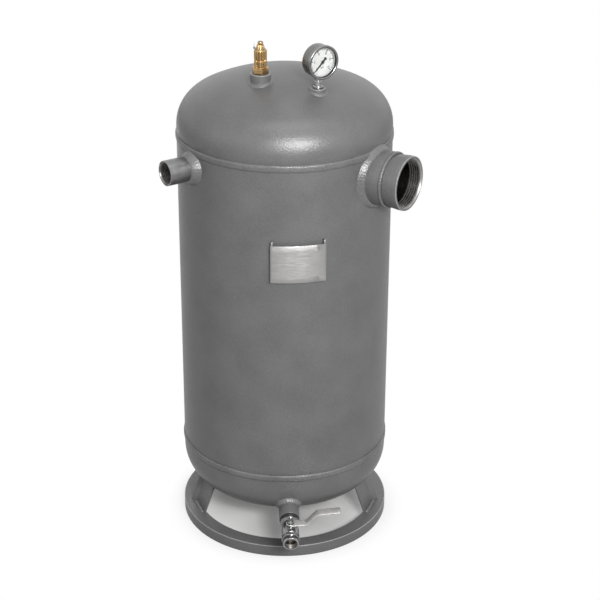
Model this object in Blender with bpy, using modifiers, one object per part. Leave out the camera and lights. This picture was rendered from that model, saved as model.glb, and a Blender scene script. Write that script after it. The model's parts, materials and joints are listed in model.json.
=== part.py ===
"""Upright compressed-air receiver with safety valve, pressure gauge and ball-valve drain.

Blender 4.5, metres, +Z up. The tank's axis is vertical and its front faces -Y. Azimuths are measured round the
axis from the front, positive towards +X. Every piece hangs from an empty that marks the axis it is built on.
"""

from math import atan2, ceil, cos, hypot, pi, radians, sin, sqrt, tan

import bmesh
import bpy
from mathutils import Matrix, Vector
from mathutils.bvhtree import BVHTree

MM = 0.001
GAP = 0.3 * MM  # clearance that every touching pair of pieces keeps
WELD_LIFT = 0.2 * MM  # a weld laid on the vessel bridges its facets, so it sits this much higher
KNUCKLE_WELD_PITCH = 4.4 * MM  # most that a weld on a knuckle bridges between two of its points
MERGE = 0.00001

# --- vessel ---------------------------------------------------------------------------------------------------
SHELL_OD = 400 * MM
SHELL_WALL = 3.5 * MM
BOTTOM_SEAM_Z = 172.5 * MM
TOP_SEAM_Z = 801 * MM
TOP_HEAD_SKIRT = 17.4 * MM
BOTTOM_HEAD_SKIRT = 23 * MM
HEAD_CROWN_RADIUS = 371.5 * MM
HEAD_KNUCKLE_RADIUS = 70.4 * MM
SEAM_ROOT_GAP = 1 * MM
GIRTH_WELD_WIDTH = 12 * MM
GIRTH_WELD_HEIGHT = 2 * MM
LONG_WELD_WIDTH = 8 * MM
LONG_WELD_HEIGHT = 1.5 * MM
VESSEL_STEPS = 48

# --- large socket on its pipe stub, and small socket ------------------------------------------------------------
INLET_AZIMUTH = 57.0
INLET_Z = 753 * MM
STUB_OD = 101.6 * MM
STUB_WALL = 5.5 * MM
STUB_REACH = 33 * MM  # from the shell to the socket's rear face
INLET_SOCKET_OD = STUB_OD - 1.3 * MM  # a coupling of the same nominal size as the stub it is welded to
INLET_SOCKET_WALL = 7.65 * MM
INLET_SOCKET_BORE = INLET_SOCKET_OD - 2 * INLET_SOCKET_WALL
INLET_SOCKET_LENGTH = 32.8 * MM
INLET_FILLET_LEG = 7.5 * MM
SOCKET_WELD_WIDTH = 8 * MM
SOCKET_WELD_HEIGHT = 2 * MM
OUTLET_AZIMUTH = -57.0
OUTLET_Z = 770 * MM
OUTLET_SOCKET_OD = 46.4 * MM
OUTLET_SOCKET_BORE = 39 * MM
OUTLET_REACH = 54.5 * MM
OUTLET_FILLET_LEG = 8.5 * MM
NOZZLE_INSIDE = 12 * MM  # how far a nozzle runs on inside the shell's radius
MOUTH_CHAMFER = 1.5 * MM
NOZZLE_STEPS = 32

# --- bosses in the top head ---------------------------------------------------------------------------------------
SAFETY_X, SAFETY_Y = -43.2 * MM, -50 * MM
SAFETY_BOSS_OD = 37.8 * MM
SAFETY_BOSS_BORE = 21 * MM
SAFETY_BOSS_HEIGHT = 16.5 * MM  # top face above the head's surface on the boss's axis
GAUGE_X, GAUGE_Y = 59.3 * MM, -79.2 * MM
GAUGE_BOSS_OD = 28.4 * MM
GAUGE_BOSS_BORE = 17 * MM
GAUGE_BOSS_HEIGHT = 6 * MM
BOSS_INSIDE = 12 * MM
BOSS_FILLET_LEG = 5 * MM
BOSS_STEPS = 24

# --- drain socket in the knuckle of the bottom head ---------------------------------------------------------------
DRAIN_AZIMUTH = 2.4
DRAIN_ENTRY_ANGLE = 40.5  # where its axis meets the knuckle, below the knuckle's centre
DRAIN_TILT = 12.0  # its axis below horizontal
DRAIN_SOCKET_REACH = 40 * MM
DRAIN_SOCKET_OD = 39 * MM
DRAIN_SOCKET_BORE = 26.4 * MM
DRAIN_INSIDE = 18 * MM
DRAIN_FILLET_LEG = 5.5 * MM

# --- base ring and legs -------------------------------------------------------------------------------------------
RING_OD = 408 * MM
RING_FLANGE = 29 * MM
RING_HEIGHT = 22.8 * MM
RING_THICKNESS = 3 * MM
LEG_AZIMUTHS = {"left": -70.0, "right": 70.0, "rear": 180.0}
LEG_LIP_SIDES = {"left": 1, "right": -1, "rear": 1}
LEG_SETBACK = 23 * MM  # outer face of the foot, inside the ring's outer edge
LEG_LEAN = 20.0
LEG_WIDTH = 50 * MM
LEG_THICKNESS = 4 * MM
LEG_LIP = 12 * MM
LEG_LIP_FOLD = 35.0
LEG_WELD_LEG = 6 * MM
LEG_WELD_LENGTH = 42 * MM

# --- nameplate -----------------------------------------------------------------------------------------------------
PLATE_AZIMUTH = 6.85
PLATE_Z = 623 * MM
PLATE_WIDTH = 102 * MM
PLATE_HEIGHT = 72 * MM
PLATE_THICKNESS = 1 * MM
BRACKET_STANDOFF = 9 * MM
BRACKET_THICKNESS = 1.5 * MM
BRACKET_MARGIN = 2 * MM  # how far the plate overhangs its bracket all round

# --- safety valve, heights above the boss's face --------------------------------------------------------------------
VALVE_THREAD_LENGTH = 14 * MM
VALVE_INLET_BORE = 10 * MM
VALVE_HEX = 27 * MM
VALVE_HEX_HEIGHT = 11.5 * MM
VALVE_SEAT_HEIGHT = 9 * MM
VALVE_BODY_OD = 23.5 * MM
VALVE_BODY_TOP = 43.5 * MM
VALVE_CHAMBER = 18.4 * MM
VALVE_PORT = 4.4 * MM
VALVE_PORTS = 6
VALVE_DISC_OD = 16.4 * MM
VALVE_DISC_THICKNESS = 4 * MM
VALVE_SPINDLE = 4.4 * MM
VALVE_LIFT = 2.5 * MM
VALVE_BUTTON_THICKNESS = 2 * MM
VALVE_BONNET_ENGAGEMENT = 5 * MM
VALVE_NECK_OD = 15.5 * MM
VALVE_NECK_HEIGHT = 9.5 * MM
VALVE_CAP_OD = 10 * MM
VALVE_CAP_HEIGHT = 5 * MM
SPRING_WIRE = 1.6 * MM
SPRING_MEAN_OD = 11.6 * MM
SPRING_TURNS = 5.5
SPRING_POINTS_PER_TURN = 10
SEAL_WIRE = 0.8 * MM
SEAL_LOOP_HEIGHT = 12.5 * MM
SEAL_OD = 4.4 * MM

# --- pressure gauge --------------------------------------------------------------------------------------------------
GAUGE_FACING = 33.4
ADAPTER_OD = 17.7 * MM
ADAPTER_HEIGHT = 9.2 * MM
ADAPTER_THREAD_LENGTH = 10 * MM
ADAPTER_BORE = 5 * MM
STEM_OD = 13.4 * MM
STEM_ENGAGEMENT = 8 * MM
STEM_BORE = 3 * MM
CASE_CENTRE_HEIGHT = 50.5 * MM
CASE_OD = 59 * MM
CASE_WALL = 1 * MM
CASE_BACK = 7.5 * MM  # behind the stem's axis
CASE_FRONT = 14 * MM
BEZEL_OD = 62 * MM
BEZEL_OPENING = 53.6 * MM
BEZEL_FRONT = 19 * MM
BEZEL_LIP = 1.8 * MM
WINDOW_THICKNESS = 1.5 * MM
DIAL_OD = 56 * MM
DIAL_FRONT = 12.5 * MM
DIAL_THICKNESS = 0.6 * MM
BLOCK_WIDTH = 12 * MM
BLOCK_TOP = 14 * MM  # below the dial's centre
POINTER_LENGTH = 20 * MM
POINTER_TAIL = 9 * MM
POINTER_ZERO = 225.0
POINTER_BACK = 13.3 * MM
POINTER_THICKNESS = 0.8 * MM
ARBOR = 1.6 * MM
GEAR_MODULE = 0.4 * MM
PINION_TEETH = 12
SECTOR_TEETH = 72  # on a full circle
SECTOR_SWEEP = 45.0
GEAR_BACK = 7.5 * MM
GEAR_THICKNESS = 1.2 * MM
SECTOR_TAIL = 6 * MM
SECTOR_TAIL_ANGLE = 240.0
MOVEMENT_PLATE_BACK = 10.3 * MM
MOVEMENT_PLATE_THICKNESS = 0.8 * MM
BOURDON_RADIUS = 21 * MM
BOURDON_TUBE_OD = 4.4 * MM
BOURDON_START, BOURDON_END = -58.0, 235.0

# --- ball valve, distances along its flow axis from the drain socket's face -------------------------------------------
VALVE_SHANK = 14 * MM
GASKET_THICKNESS = 2.4 * MM
COLLAR_OD = 36 * MM
COLLAR_LENGTH = 6 * MM
DRAIN_LENGTH = 65 * MM
DRAIN_BODY_OD = 33 * MM
DRAIN_BODY_END = 48 * MM
DRAIN_WAIST_OD = 29 * MM
BALL_CENTRE = 32 * MM
BALL_OD = 25 * MM
FLOW_BORE = 17 * MM
SEAT_DEPTH = 4 * MM
END_HEX = 31 * MM
END_HEX_LENGTH = 7 * MM
END_OD = 32.4 * MM
END_WAIST_OD = 28.6 * MM
MOUTH_BORE = 24.4 * MM
MOUTH_DEPTH = 14 * MM
STEM_BOSS_OD = 17 * MM
STEM_BOSS_HEIGHT = 17 * MM
DRAIN_STEM_OD = 7 * MM
BALL_SLOT_DEPTH = 2.5 * MM
BALL_SLOT_WIDTH = 4.6 * MM
PACKING_THICKNESS = 1.6 * MM
GLAND_OD = 13 * MM
GLAND_THICKNESS = 3.2 * MM
LEVER_LENGTH = 94 * MM
LEVER_WIDTH = 14 * MM
LEVER_THICKNESS = 2.4 * MM
LEVER_FLAT = 30 * MM
LEVER_RAMP = 19 * MM
LEVER_CRANK = 26 * MM
LEVER_RISE = 7.0  # slope of the handle beyond the crank
LEVER_NUT = 11 * MM
LEVER_NUT_HEIGHT = 5 * MM
STEM_TIP = 1.5 * MM
FITTING_STEPS = 24
SMALL_STEPS = 16

# --- derived places ---------------------------------------------------------------------------------------------------
SHELL_R = SHELL_OD / 2
KNUCKLE_CENTRE_R = SHELL_R - HEAD_KNUCKLE_RADIUS
CROWN_DROP = sqrt((HEAD_CROWN_RADIUS - HEAD_KNUCKLE_RADIUS) ** 2 - KNUCKLE_CENTRE_R**2)
CROWN_JOIN = atan2(CROWN_DROP, KNUCKLE_CENTRE_R)
HEAD_RISE = HEAD_CROWN_RADIUS - CROWN_DROP
TOP_TANGENT_Z = TOP_SEAM_Z + TOP_HEAD_SKIRT
BOTTOM_TANGENT_Z = BOTTOM_SEAM_Z - BOTTOM_HEAD_SKIRT
INLET_FACE = SHELL_R + STUB_REACH + INLET_SOCKET_LENGTH
OUTLET_FACE = SHELL_R + OUTLET_REACH
DRAIN_FACE_R = (
    KNUCKLE_CENTRE_R
    + HEAD_KNUCKLE_RADIUS * cos(radians(DRAIN_ENTRY_ANGLE))
    + DRAIN_SOCKET_REACH * cos(radians(DRAIN_TILT))
)
DRAIN_FACE_Z = (
    BOTTOM_TANGENT_Z
    - HEAD_KNUCKLE_RADIUS * sin(radians(DRAIN_ENTRY_ANGLE))
    - DRAIN_SOCKET_REACH * sin(radians(DRAIN_TILT))
)


def outward(azimuth):
    return Vector((sin(radians(azimuth)), -cos(radians(azimuth)), 0))


def dome_height(x, y):
    """Height of the top head's outer surface over a point."""
    r = hypot(x, y)
    if r < HEAD_CROWN_RADIUS * cos(CROWN_JOIN):
        return TOP_TANGENT_Z + sqrt(HEAD_CROWN_RADIUS**2 - r**2) - CROWN_DROP
    return TOP_TANGENT_Z + sqrt(HEAD_KNUCKLE_RADIUS**2 - (r - KNUCKLE_CENTRE_R) ** 2)


def axis_offset():
    """Moves the tank's axis so that the box round the whole object is centred on the world's origin."""
    right = INLET_FACE * sin(radians(INLET_AZIMUTH)) + INLET_SOCKET_OD / 2 * cos(radians(INLET_AZIMUTH))
    left = OUTLET_FACE * sin(radians(OUTLET_AZIMUTH)) - OUTLET_SOCKET_OD / 2 * cos(radians(OUTLET_AZIMUTH))
    mouth = DRAIN_FACE_R + DRAIN_LENGTH * cos(radians(DRAIN_TILT)) + END_OD / 2 * sin(radians(DRAIN_TILT))
    front = -mouth * cos(radians(DRAIN_AZIMUTH))
    return Vector((-(right + left) / 2, -(RING_OD / 2 + front) / 2, 0))


# --- scene and helpers --------------------------------------------------------------------------------------------------
for stale in list(bpy.data.objects):
    bpy.data.objects.remove(stale, do_unlink=True)

parts = bpy.data.collections.new("air_receiver")
helpers = bpy.data.collections.new("cutters")
bpy.context.scene.collection.children.link(parts)
bpy.context.scene.collection.children.link(helpers)


def material(name, colour, roughness, metallic):
    made = bpy.data.materials.new(name)
    made.use_nodes = True
    shader = made.node_tree.nodes["Principled BSDF"]
    shader.inputs["Base Color"].default_value = (*colour, 1)
    shader.inputs["Roughness"].default_value = roughness
    shader.inputs["Metallic"].default_value = metallic
    made.diffuse_color = (*colour, 1)
    return made


PAINT = material("grey_enamel", (0.16, 0.16, 0.165), 0.45, 0.0)
BARE = material("machined_steel", (0.45, 0.45, 0.46), 0.35, 1.0)
BRASS = material("brass", (0.62, 0.37, 0.12), 0.3, 1.0)
STAINLESS = material("stainless_steel", (0.55, 0.55, 0.55), 0.25, 1.0)
CHROME = material("chrome_plate", (0.7, 0.7, 0.72), 0.12, 1.0)
SPRING_STEEL = material("spring_steel", (0.3, 0.3, 0.32), 0.3, 1.0)
LEAD = material("lead", (0.2, 0.2, 0.21), 0.5, 1.0)
PLASTIC = material("ptfe", (0.85, 0.85, 0.83), 0.5, 0.0)
RUBBER = material("nitrile_rubber", (0.02, 0.02, 0.02), 0.6, 0.0)
WHITE = material("dial_enamel", (0.85, 0.85, 0.84), 0.5, 0.0)
BLACK = material("black_lacquer", (0.02, 0.02, 0.02), 0.4, 0.0)
GLASS = material("window_glass", (0.9, 0.95, 0.95), 0.05, 0.0)


def empty(name, parent, origin=(0, 0, 0), z_axis=(0, 0, 1), y_axis=(0, 1, 0)):
    """A frame: its Z is the axis that pieces are turned round, and its Y leans towards y_axis."""
    z = Vector(z_axis).normalized()
    x = Vector(y_axis).cross(z).normalized()
    y = z.cross(x)
    made = bpy.data.objects.new(name, None)
    made.empty_display_size = 0.02
    parts.objects.link(made)
    made.parent = parent
    made.matrix_local = Matrix.Translation(origin) @ Matrix((x, y, z)).transposed().to_4x4()
    return made


def add_object(name, data, paint, parent, location=(0, 0, 0), turn=0.0):
    """paint None makes a cutter or another helper, which the build leaves out."""
    made = bpy.data.objects.new(name, data)
    (helpers if paint is None else parts).objects.link(made)
    made.parent = parent
    made.location = location
    made.rotation_euler = (0, 0, radians(turn))
    if paint is None:
        made.hide_render = True
        made.display_type = "WIRE"
    else:
        data.materials.append(paint)
    return made


def turned(name, profile, paint, parent, steps=FITTING_STEPS, location=(0, 0, 0), turn=0.0):
    """Revolves (radius, height) points round the frame's Z. They run down the outer side, from axis to axis, or
    round the whole section of a ring."""
    mesh = bpy.data.meshes.new(name)
    bm = bmesh.new()
    corners = [bm.verts.new((r, 0, z)) for r, z in profile]
    for first, second in zip(corners, corners[1:]):
        bm.edges.new((first, second))
    if profile[0][0] > 0:
        bm.edges.new((corners[-1], corners[0]))
    bm.to_mesh(mesh)
    bm.free()
    made = add_object(name, mesh, paint, parent, location, turn)
    screw = made.modifiers.new("turn", "SCREW")
    screw.axis = "Z"
    screw.angle = 2 * pi
    screw.steps = screw.render_steps = steps
    screw.use_merge_vertices = True
    screw.merge_threshold = MERGE
    screw.use_smooth_shade = True
    return made


def rod(name, radius, low, high, paint, parent, steps=FITTING_STEPS, location=(0, 0, 0)):
    return turned(name, [(0, high), (radius, high), (radius, low), (0, low)], paint, parent, steps, location)


def ring(name, outer, inner, low, high, paint, parent, steps=FITTING_STEPS, location=(0, 0, 0)):
    section = [(outer, high), (outer, low), (inner, low), (inner, high)]
    return turned(name, section, paint, parent, steps, location)


def prism(name, sides, across_flats, low, high, paint, parent, turn=0.0):
    """A hexagon or a square bar, by its size across flats."""
    mesh = bpy.data.meshes.new(name)
    bm = bmesh.new()
    radius = across_flats / 2 / cos(pi / sides)
    bmesh.ops.create_cone(
        bm, cap_ends=True, segments=sides, radius1=radius, radius2=radius, depth=high - low
    )
    bmesh.ops.translate(bm, verts=bm.verts, vec=(0, 0, (low + high) / 2))
    bm.to_mesh(mesh)
    bm.free()
    return add_object(name, mesh, paint, parent, turn=turn)


def box(name, size, centre, paint, parent):
    mesh = bpy.data.meshes.new(name)
    bm = bmesh.new()
    bmesh.ops.create_cube(bm, size=1)
    bmesh.ops.scale(bm, verts=bm.verts, vec=size)
    bmesh.ops.translate(bm, verts=bm.verts, vec=centre)
    bm.to_mesh(mesh)
    bm.free()
    return add_object(name, mesh, paint, parent)


def as_mesh(curve_object):
    """The same object as a welded mesh, so that it can be cut."""
    bpy.context.view_layer.update()
    graph = bpy.context.evaluated_depsgraph_get()
    mesh = bpy.data.meshes.new_from_object(curve_object.evaluated_get(graph))
    bm = bmesh.new()
    bm.from_mesh(mesh)
    bmesh.ops.remove_doubles(bm, verts=bm.verts, dist=MERGE)
    bmesh.ops.recalc_face_normals(bm, faces=bm.faces)
    bm.to_mesh(mesh)
    bm.free()
    name = curve_object.name
    made = bpy.data.objects.new(name + "_mesh", mesh)
    for collection in curve_object.users_collection:
        collection.objects.link(made)
    made.parent = curve_object.parent
    made.matrix_world = curve_object.matrix_world
    made.hide_render = curve_object.hide_render
    made.display_type = curve_object.display_type
    bpy.data.objects.remove(curve_object, do_unlink=True)
    made.name = name
    return made


def slab(name, outline, back, thickness, paint, parent, location=(0, 0, 0), turn=0.0):
    """A flat plate of any outline in the frame's XY plane, from height back upwards."""
    curve = bpy.data.curves.new(name, "CURVE")
    curve.dimensions = "2D"
    curve.fill_mode = "BOTH"
    curve.extrude = thickness / 2
    spline = curve.splines.new("POLY")
    spline.points.add(len(outline) - 1)
    for point, (x, y) in zip(spline.points, outline):
        point.co = (x, y, 0, 1)
    spline.use_cyclic_u = True
    place = Vector(location) + Vector((0, 0, back + thickness / 2))
    return as_mesh(add_object(name, curve, paint, parent, place, turn))


def wire(name, route, diameter, paint, parent, closed=False):
    curve = bpy.data.curves.new(name, "CURVE")
    curve.dimensions = "3D"
    curve.bevel_depth = diameter / 2
    curve.bevel_resolution = 1
    curve.use_fill_caps = not closed
    spline = curve.splines.new("POLY")
    spline.points.add(len(route) - 1)
    for point, place in zip(spline.points, route):
        point.co = (*place, 1)
    spline.use_cyclic_u = closed
    return add_object(name, curve, paint, parent)


def combine(target, operation, *others):
    for other in others:
        step = target.modifiers.new(operation.lower(), "BOOLEAN")
        step.operation = operation
        step.object = other
        step.solver = "EXACT"


def cut(target, *cutters):
    combine(target, "DIFFERENCE", *cutters)


def join(target, *additions):
    combine(target, "UNION", *additions)


def head_arc(offset=0.0, crown_steps=3, knuckle_steps=4):
    """Half section of a torispherical head above its tangent line, from the axis out, moved out by offset."""
    crown = HEAD_CROWN_RADIUS + offset
    knuckle = HEAD_KNUCKLE_RADIUS + offset
    points = [(0, crown - CROWN_DROP)]
    for k in range(1, crown_steps):
        angle = pi / 2 + (CROWN_JOIN - pi / 2) * k / crown_steps
        points.append((crown * cos(angle), crown * sin(angle) - CROWN_DROP))
    for k in range(knuckle_steps + 1):
        angle = CROWN_JOIN * (1 - k / knuckle_steps)
        points.append((KNUCKLE_CENTRE_R + knuckle * cos(angle), knuckle * sin(angle)))
    return points


def fillet_weld(name, frame, surface, inner_radius, leg, paint=PAINT, steps=NOZZLE_STEPS):
    """A weld bead round a pipe on the frame's Z where it enters the vessel, lofted between rings of points that
    lie on the surface or stand above it."""
    to_world = frame.matrix_world
    down = (to_world.to_3x3() @ Vector((0, 0, -1))).normalized()
    above = 2 * leg

    def on_surface(radius, angle, lift):
        local = Vector((radius * cos(angle), radius * sin(angle), above))
        hit = surface.ray_cast(to_world @ local, down)[0]
        return to_world.inverted() @ hit + Vector((0, 0, lift + WELD_LIFT))

    inner = inner_radius + GAP
    section = [
        (inner, 0),
        (inner + leg / 2, 0),
        (inner + leg, 0),
        (inner + 0.5 * leg, 0.62 * leg),
        (inner, 0.92 * leg),
    ]
    mesh = bpy.data.meshes.new(name)
    bm = bmesh.new()
    rings = [
        [bm.verts.new(on_surface(radius, 2 * pi * k / steps, lift)) for k in range(steps)]
        for radius, lift in section
    ]
    for low, high in zip(rings, rings[1:] + rings[:1]):
        for k in range(steps):
            m = (k + 1) % steps
            bm.faces.new((low[k], low[m], high[m], high[k]))
    bmesh.ops.recalc_face_normals(bm, faces=bm.faces)
    bm.to_mesh(mesh)
    bm.free()
    mesh.shade_smooth()
    return add_object(name, mesh, paint, frame)


# --- vessel -------------------------------------------------------------------------------------------------------------
tank = empty("tank_axis", None, axis_offset())


def vessel_surface():
    """The vessel's outside, moved out by the clearance: it trims what is welded on, and welds are laid on it."""
    top = [(r, TOP_TANGENT_Z + h) for r, h in head_arc(GAP)]
    bottom = [(r, BOTTOM_TANGENT_Z - h) for r, h in reversed(head_arc(GAP))]
    return turned("vessel_envelope", top + bottom, None, tank, VESSEL_STEPS)


def bead_section(radius, height, width, crown):
    """Section of a butt weld's cap, standing on a cylinder."""
    angles = [pi * k / 3 for k in range(4)]
    return [(radius + crown * sin(a), height + width / 2 * cos(a)) for a in angles]


def girth_weld(name, seam_z):
    section = bead_section(SHELL_R + GAP, seam_z, GIRTH_WELD_WIDTH, GIRTH_WELD_HEIGHT)
    return turned(name, section, PAINT, tank, VESSEL_STEPS)


def head(name, frame, skirt):
    rim = SEAM_ROOT_GAP / 2
    outside = [(r, skirt + h) for r, h in head_arc()]
    inside = [(r, skirt + h) for r, h in reversed(head_arc(-SHELL_WALL, 2, 2))]
    section = outside + [(SHELL_R, rim), (SHELL_R - SHELL_WALL, rim)] + inside
    return turned(name, section, PAINT, frame, VESSEL_STEPS)


envelope = vessel_surface()
shell = ring(
    "shell",
    SHELL_R,
    SHELL_R - SHELL_WALL,
    BOTTOM_SEAM_Z + SEAM_ROOT_GAP / 2,
    TOP_SEAM_Z - SEAM_ROOT_GAP / 2,
    PAINT,
    tank,
    VESSEL_STEPS,
)
top_seam = empty("top_seam", tank, (0, 0, TOP_SEAM_Z))
bottom_seam = empty("bottom_seam", tank, (0, 0, BOTTOM_SEAM_Z), (0, 0, -1), (0, 1, 0))
top_head = head("top_head", top_seam, TOP_HEAD_SKIRT)
bottom_head = head("bottom_head", bottom_seam, BOTTOM_HEAD_SKIRT)
top_weld = girth_weld("top_girth_weld", TOP_SEAM_Z)
girth_weld("bottom_girth_weld", BOTTOM_SEAM_Z)

long_weld_ends = GIRTH_WELD_WIDTH / 2 + GAP
long_weld = box(
    "long_seam_weld",
    (LONG_WELD_WIDTH, 2 * LONG_WELD_HEIGHT, TOP_SEAM_Z - BOTTOM_SEAM_Z - 2 * long_weld_ends),
    (0, SHELL_R, (TOP_SEAM_Z + BOTTOM_SEAM_Z) / 2),
    PAINT,
    tank,
)
cut(long_weld, envelope)

bpy.context.view_layer.update()
graph_now = bpy.context.evaluated_depsgraph_get()
surface_mesh = envelope.evaluated_get(graph_now).to_mesh()
surface_bmesh = bmesh.new()
surface_bmesh.from_mesh(surface_mesh)
surface_bmesh.transform(envelope.matrix_world)
SURFACE = BVHTree.FromBMesh(surface_bmesh)
surface_bmesh.free()


# --- large socket -----------------------------------------------------------------------------------------------------
def nozzle_frame(name, azimuth, height):
    made = empty(name, tank, (0, 0, height), outward(azimuth), (0, 0, 1))
    bpy.context.view_layer.update()
    return made


def socket_section(outer, bore, rear, face):
    lead = MOUTH_CHAMFER
    return [
        (outer, face),
        (outer, rear),
        (bore, rear),
        (bore, face - lead),
        (bore + lead, face),
    ]


def large_socket():
    frame = nozzle_frame("inlet_axis", INLET_AZIMUTH, INLET_Z)
    stub_r = STUB_OD / 2
    socket_rear = SHELL_R + STUB_REACH
    ring(
        "inlet_stub",
        stub_r,
        stub_r - STUB_WALL,
        SHELL_R - NOZZLE_INSIDE,
        socket_rear - GAP,
        PAINT,
        frame,
        NOZZLE_STEPS,
    )
    section = socket_section(INLET_SOCKET_OD / 2, INLET_SOCKET_BORE / 2, socket_rear, INLET_FACE)
    turned("inlet_socket", section, PAINT, frame, NOZZLE_STEPS)
    joint_r = max(stub_r, INLET_SOCKET_OD / 2) + GAP
    bead = bead_section(joint_r, socket_rear - GAP / 2, SOCKET_WELD_WIDTH, SOCKET_WELD_HEIGHT)
    turned("inlet_socket_weld", bead, PAINT, frame, NOZZLE_STEPS)
    fillet_weld("inlet_fillet_weld", placed(frame, socket_rear), SURFACE, stub_r, INLET_FILLET_LEG)
    hole = rod("inlet_hole", stub_r + GAP, SHELL_R / 2, INLET_FACE, None, frame, NOZZLE_STEPS)
    cut(shell, hole)
    cut(top_head, hole)
    weld_room = rod(
        "inlet_weld_room",
        stub_r + INLET_FILLET_LEG + 3 * GAP,
        SHELL_R / 2,
        INLET_FACE,
        None,
        frame,
        NOZZLE_STEPS,
    )
    cut(top_weld, weld_room)


def placed(frame, height):
    """A frame further out on the same axis, from which a weld is laid back onto the vessel."""
    made = empty(frame.name + "_weld", frame, (0, 0, height))
    bpy.context.view_layer.update()
    return made


def small_socket():
    frame = nozzle_frame("outlet_axis", OUTLET_AZIMUTH, OUTLET_Z)
    outer = OUTLET_SOCKET_OD / 2
    section = socket_section(outer, OUTLET_SOCKET_BORE / 2, SHELL_R - NOZZLE_INSIDE, OUTLET_FACE)
    turned("outlet_socket", section, BARE, frame, NOZZLE_STEPS)
    fillet_weld("outlet_fillet_weld", placed(frame, OUTLET_FACE), SURFACE, outer, OUTLET_FILLET_LEG)
    hole = rod("outlet_hole", outer + GAP, SHELL_R / 2, OUTLET_FACE, None, frame, NOZZLE_STEPS)
    cut(shell, hole)
    room_r = outer + OUTLET_FILLET_LEG + 3 * GAP
    weld_room = rod("outlet_weld_room", room_r, SHELL_R / 2, OUTLET_FACE, None, frame, NOZZLE_STEPS)
    cut(top_weld, weld_room)


large_socket()
small_socket()


# --- bosses -----------------------------------------------------------------------------------------------------------
def boss(name, x, y, outer, bore, height):
    """A threaded boss through the top head. Returns the frame at the centre of its top face."""
    surface_z = dome_height(x, y)
    frame = empty(name + "_axis", tank, (x, y, surface_z + height))
    bpy.context.view_layer.update()
    section = socket_section(outer / 2, bore / 2, -height - BOSS_INSIDE, 0)
    turned(name, section, PAINT, frame, BOSS_STEPS)
    fillet_weld(name + "_weld", frame, SURFACE, outer / 2, BOSS_FILLET_LEG, steps=BOSS_STEPS)
    hole = rod(name + "_hole", outer / 2 + GAP, -height - 3 * BOSS_INSIDE, height, None, frame, BOSS_STEPS)
    cut(top_head, hole)
    return frame


safety_frame = boss("safety_boss", SAFETY_X, SAFETY_Y, SAFETY_BOSS_OD, SAFETY_BOSS_BORE, SAFETY_BOSS_HEIGHT)
gauge_frame = boss("gauge_boss", GAUGE_X, GAUGE_Y, GAUGE_BOSS_OD, GAUGE_BOSS_BORE, GAUGE_BOSS_HEIGHT)


# --- drain socket -----------------------------------------------------------------------------------------------------
def drain_socket():
    out = outward(DRAIN_AZIMUTH)
    along = out * cos(radians(DRAIN_TILT)) - Vector((0, 0, sin(radians(DRAIN_TILT))))
    frame = empty("drain_axis", tank, out * DRAIN_FACE_R + Vector((0, 0, DRAIN_FACE_Z)), along, (0, 0, 1))
    bpy.context.view_layer.update()
    outer = DRAIN_SOCKET_OD / 2
    inside = -DRAIN_SOCKET_REACH - DRAIN_INSIDE
    turned(
        "drain_socket",
        socket_section(outer, DRAIN_SOCKET_BORE / 2, inside, 0),
        PAINT,
        frame,
        BOSS_STEPS,
    )
    steps = ceil(2 * pi * (outer + DRAIN_FILLET_LEG) / KNUCKLE_WELD_PITCH)
    fillet_weld("drain_socket_weld", frame, SURFACE, outer, DRAIN_FILLET_LEG, steps=steps)
    hole = rod("drain_hole", outer + GAP, 2 * inside, 0, None, frame, BOSS_STEPS)
    cut(bottom_head, hole)
    return frame


drain_frame = drain_socket()


# --- base ring and legs ---------------------------------------------------------------------------------------------------
def base_ring():
    outer = RING_OD / 2
    inner = outer - RING_FLANGE
    section = [
        (outer, RING_HEIGHT),
        (outer, 0),
        (outer - RING_THICKNESS, 0),
        (outer - RING_THICKNESS, RING_HEIGHT - RING_THICKNESS),
        (inner, RING_HEIGHT - RING_THICKNESS),
        (inner, RING_HEIGHT),
    ]
    turned("base_ring", section, PAINT, tank, VESSEL_STEPS)


def leg(side, azimuth, lip_side):
    """A folded plate that leans in from the ring to the bottom head, trimmed by both."""
    out = outward(azimuth)
    foot = out * (RING_OD / 2 - LEG_SETBACK) + Vector((0, 0, RING_HEIGHT))
    lean = radians(LEG_LEAN)
    up_leg = Vector((0, 0, cos(lean))) - out * sin(lean)
    frame = empty(f"leg_{side}_axis", tank, foot, up_leg, out)
    half = LEG_WIDTH / 2
    fold = radians(LEG_LIP_FOLD)
    thick = LEG_THICKNESS
    outer_corner = half + thick * tan(fold / 2)
    lip_x, lip_y = half + LEG_LIP * cos(fold), LEG_LIP * sin(fold)
    outline = [
        (-half, 0),
        (half, 0),
        (lip_x, lip_y),
        (lip_x + thick * sin(fold), lip_y - thick * cos(fold)),
        (outer_corner, -thick),
        (-half, -thick),
    ]
    if lip_side < 0:
        outline = [(-x, y) for x, y in reversed(outline)]
    reach = BOTTOM_TANGENT_Z
    plate = slab(f"leg_{side}", outline, -RING_HEIGHT, reach, PAINT, frame)
    cut(plate, envelope, floor_cutter)
    weld_frame = empty(f"leg_{side}_foot", tank, foot, Vector((0, 0, 1)).cross(out) * -1, (0, 0, 1))
    drop = LEG_WELD_LEG * tan(lean)
    bead = [
        (2 * GAP, GAP),
        (2 * GAP + LEG_WELD_LEG, GAP),
        (2 * GAP + 0.45 * LEG_WELD_LEG - 0.5 * drop, 0.6 * LEG_WELD_LEG),
        (2 * GAP - drop, LEG_WELD_LEG),
    ]
    slab(f"leg_{side}_weld", bead, -LEG_WELD_LENGTH / 2, LEG_WELD_LENGTH, PAINT, weld_frame)


floor_cutter = box(
    "ring_top_cutter",
    (2 * RING_OD, 2 * RING_OD, 2 * RING_HEIGHT),
    (0, 0, GAP),
    None,
    tank,
)
base_ring()
for leg_side, leg_azimuth in LEG_AZIMUTHS.items():
    leg(leg_side, leg_azimuth, LEG_LIP_SIDES[leg_side])


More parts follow.
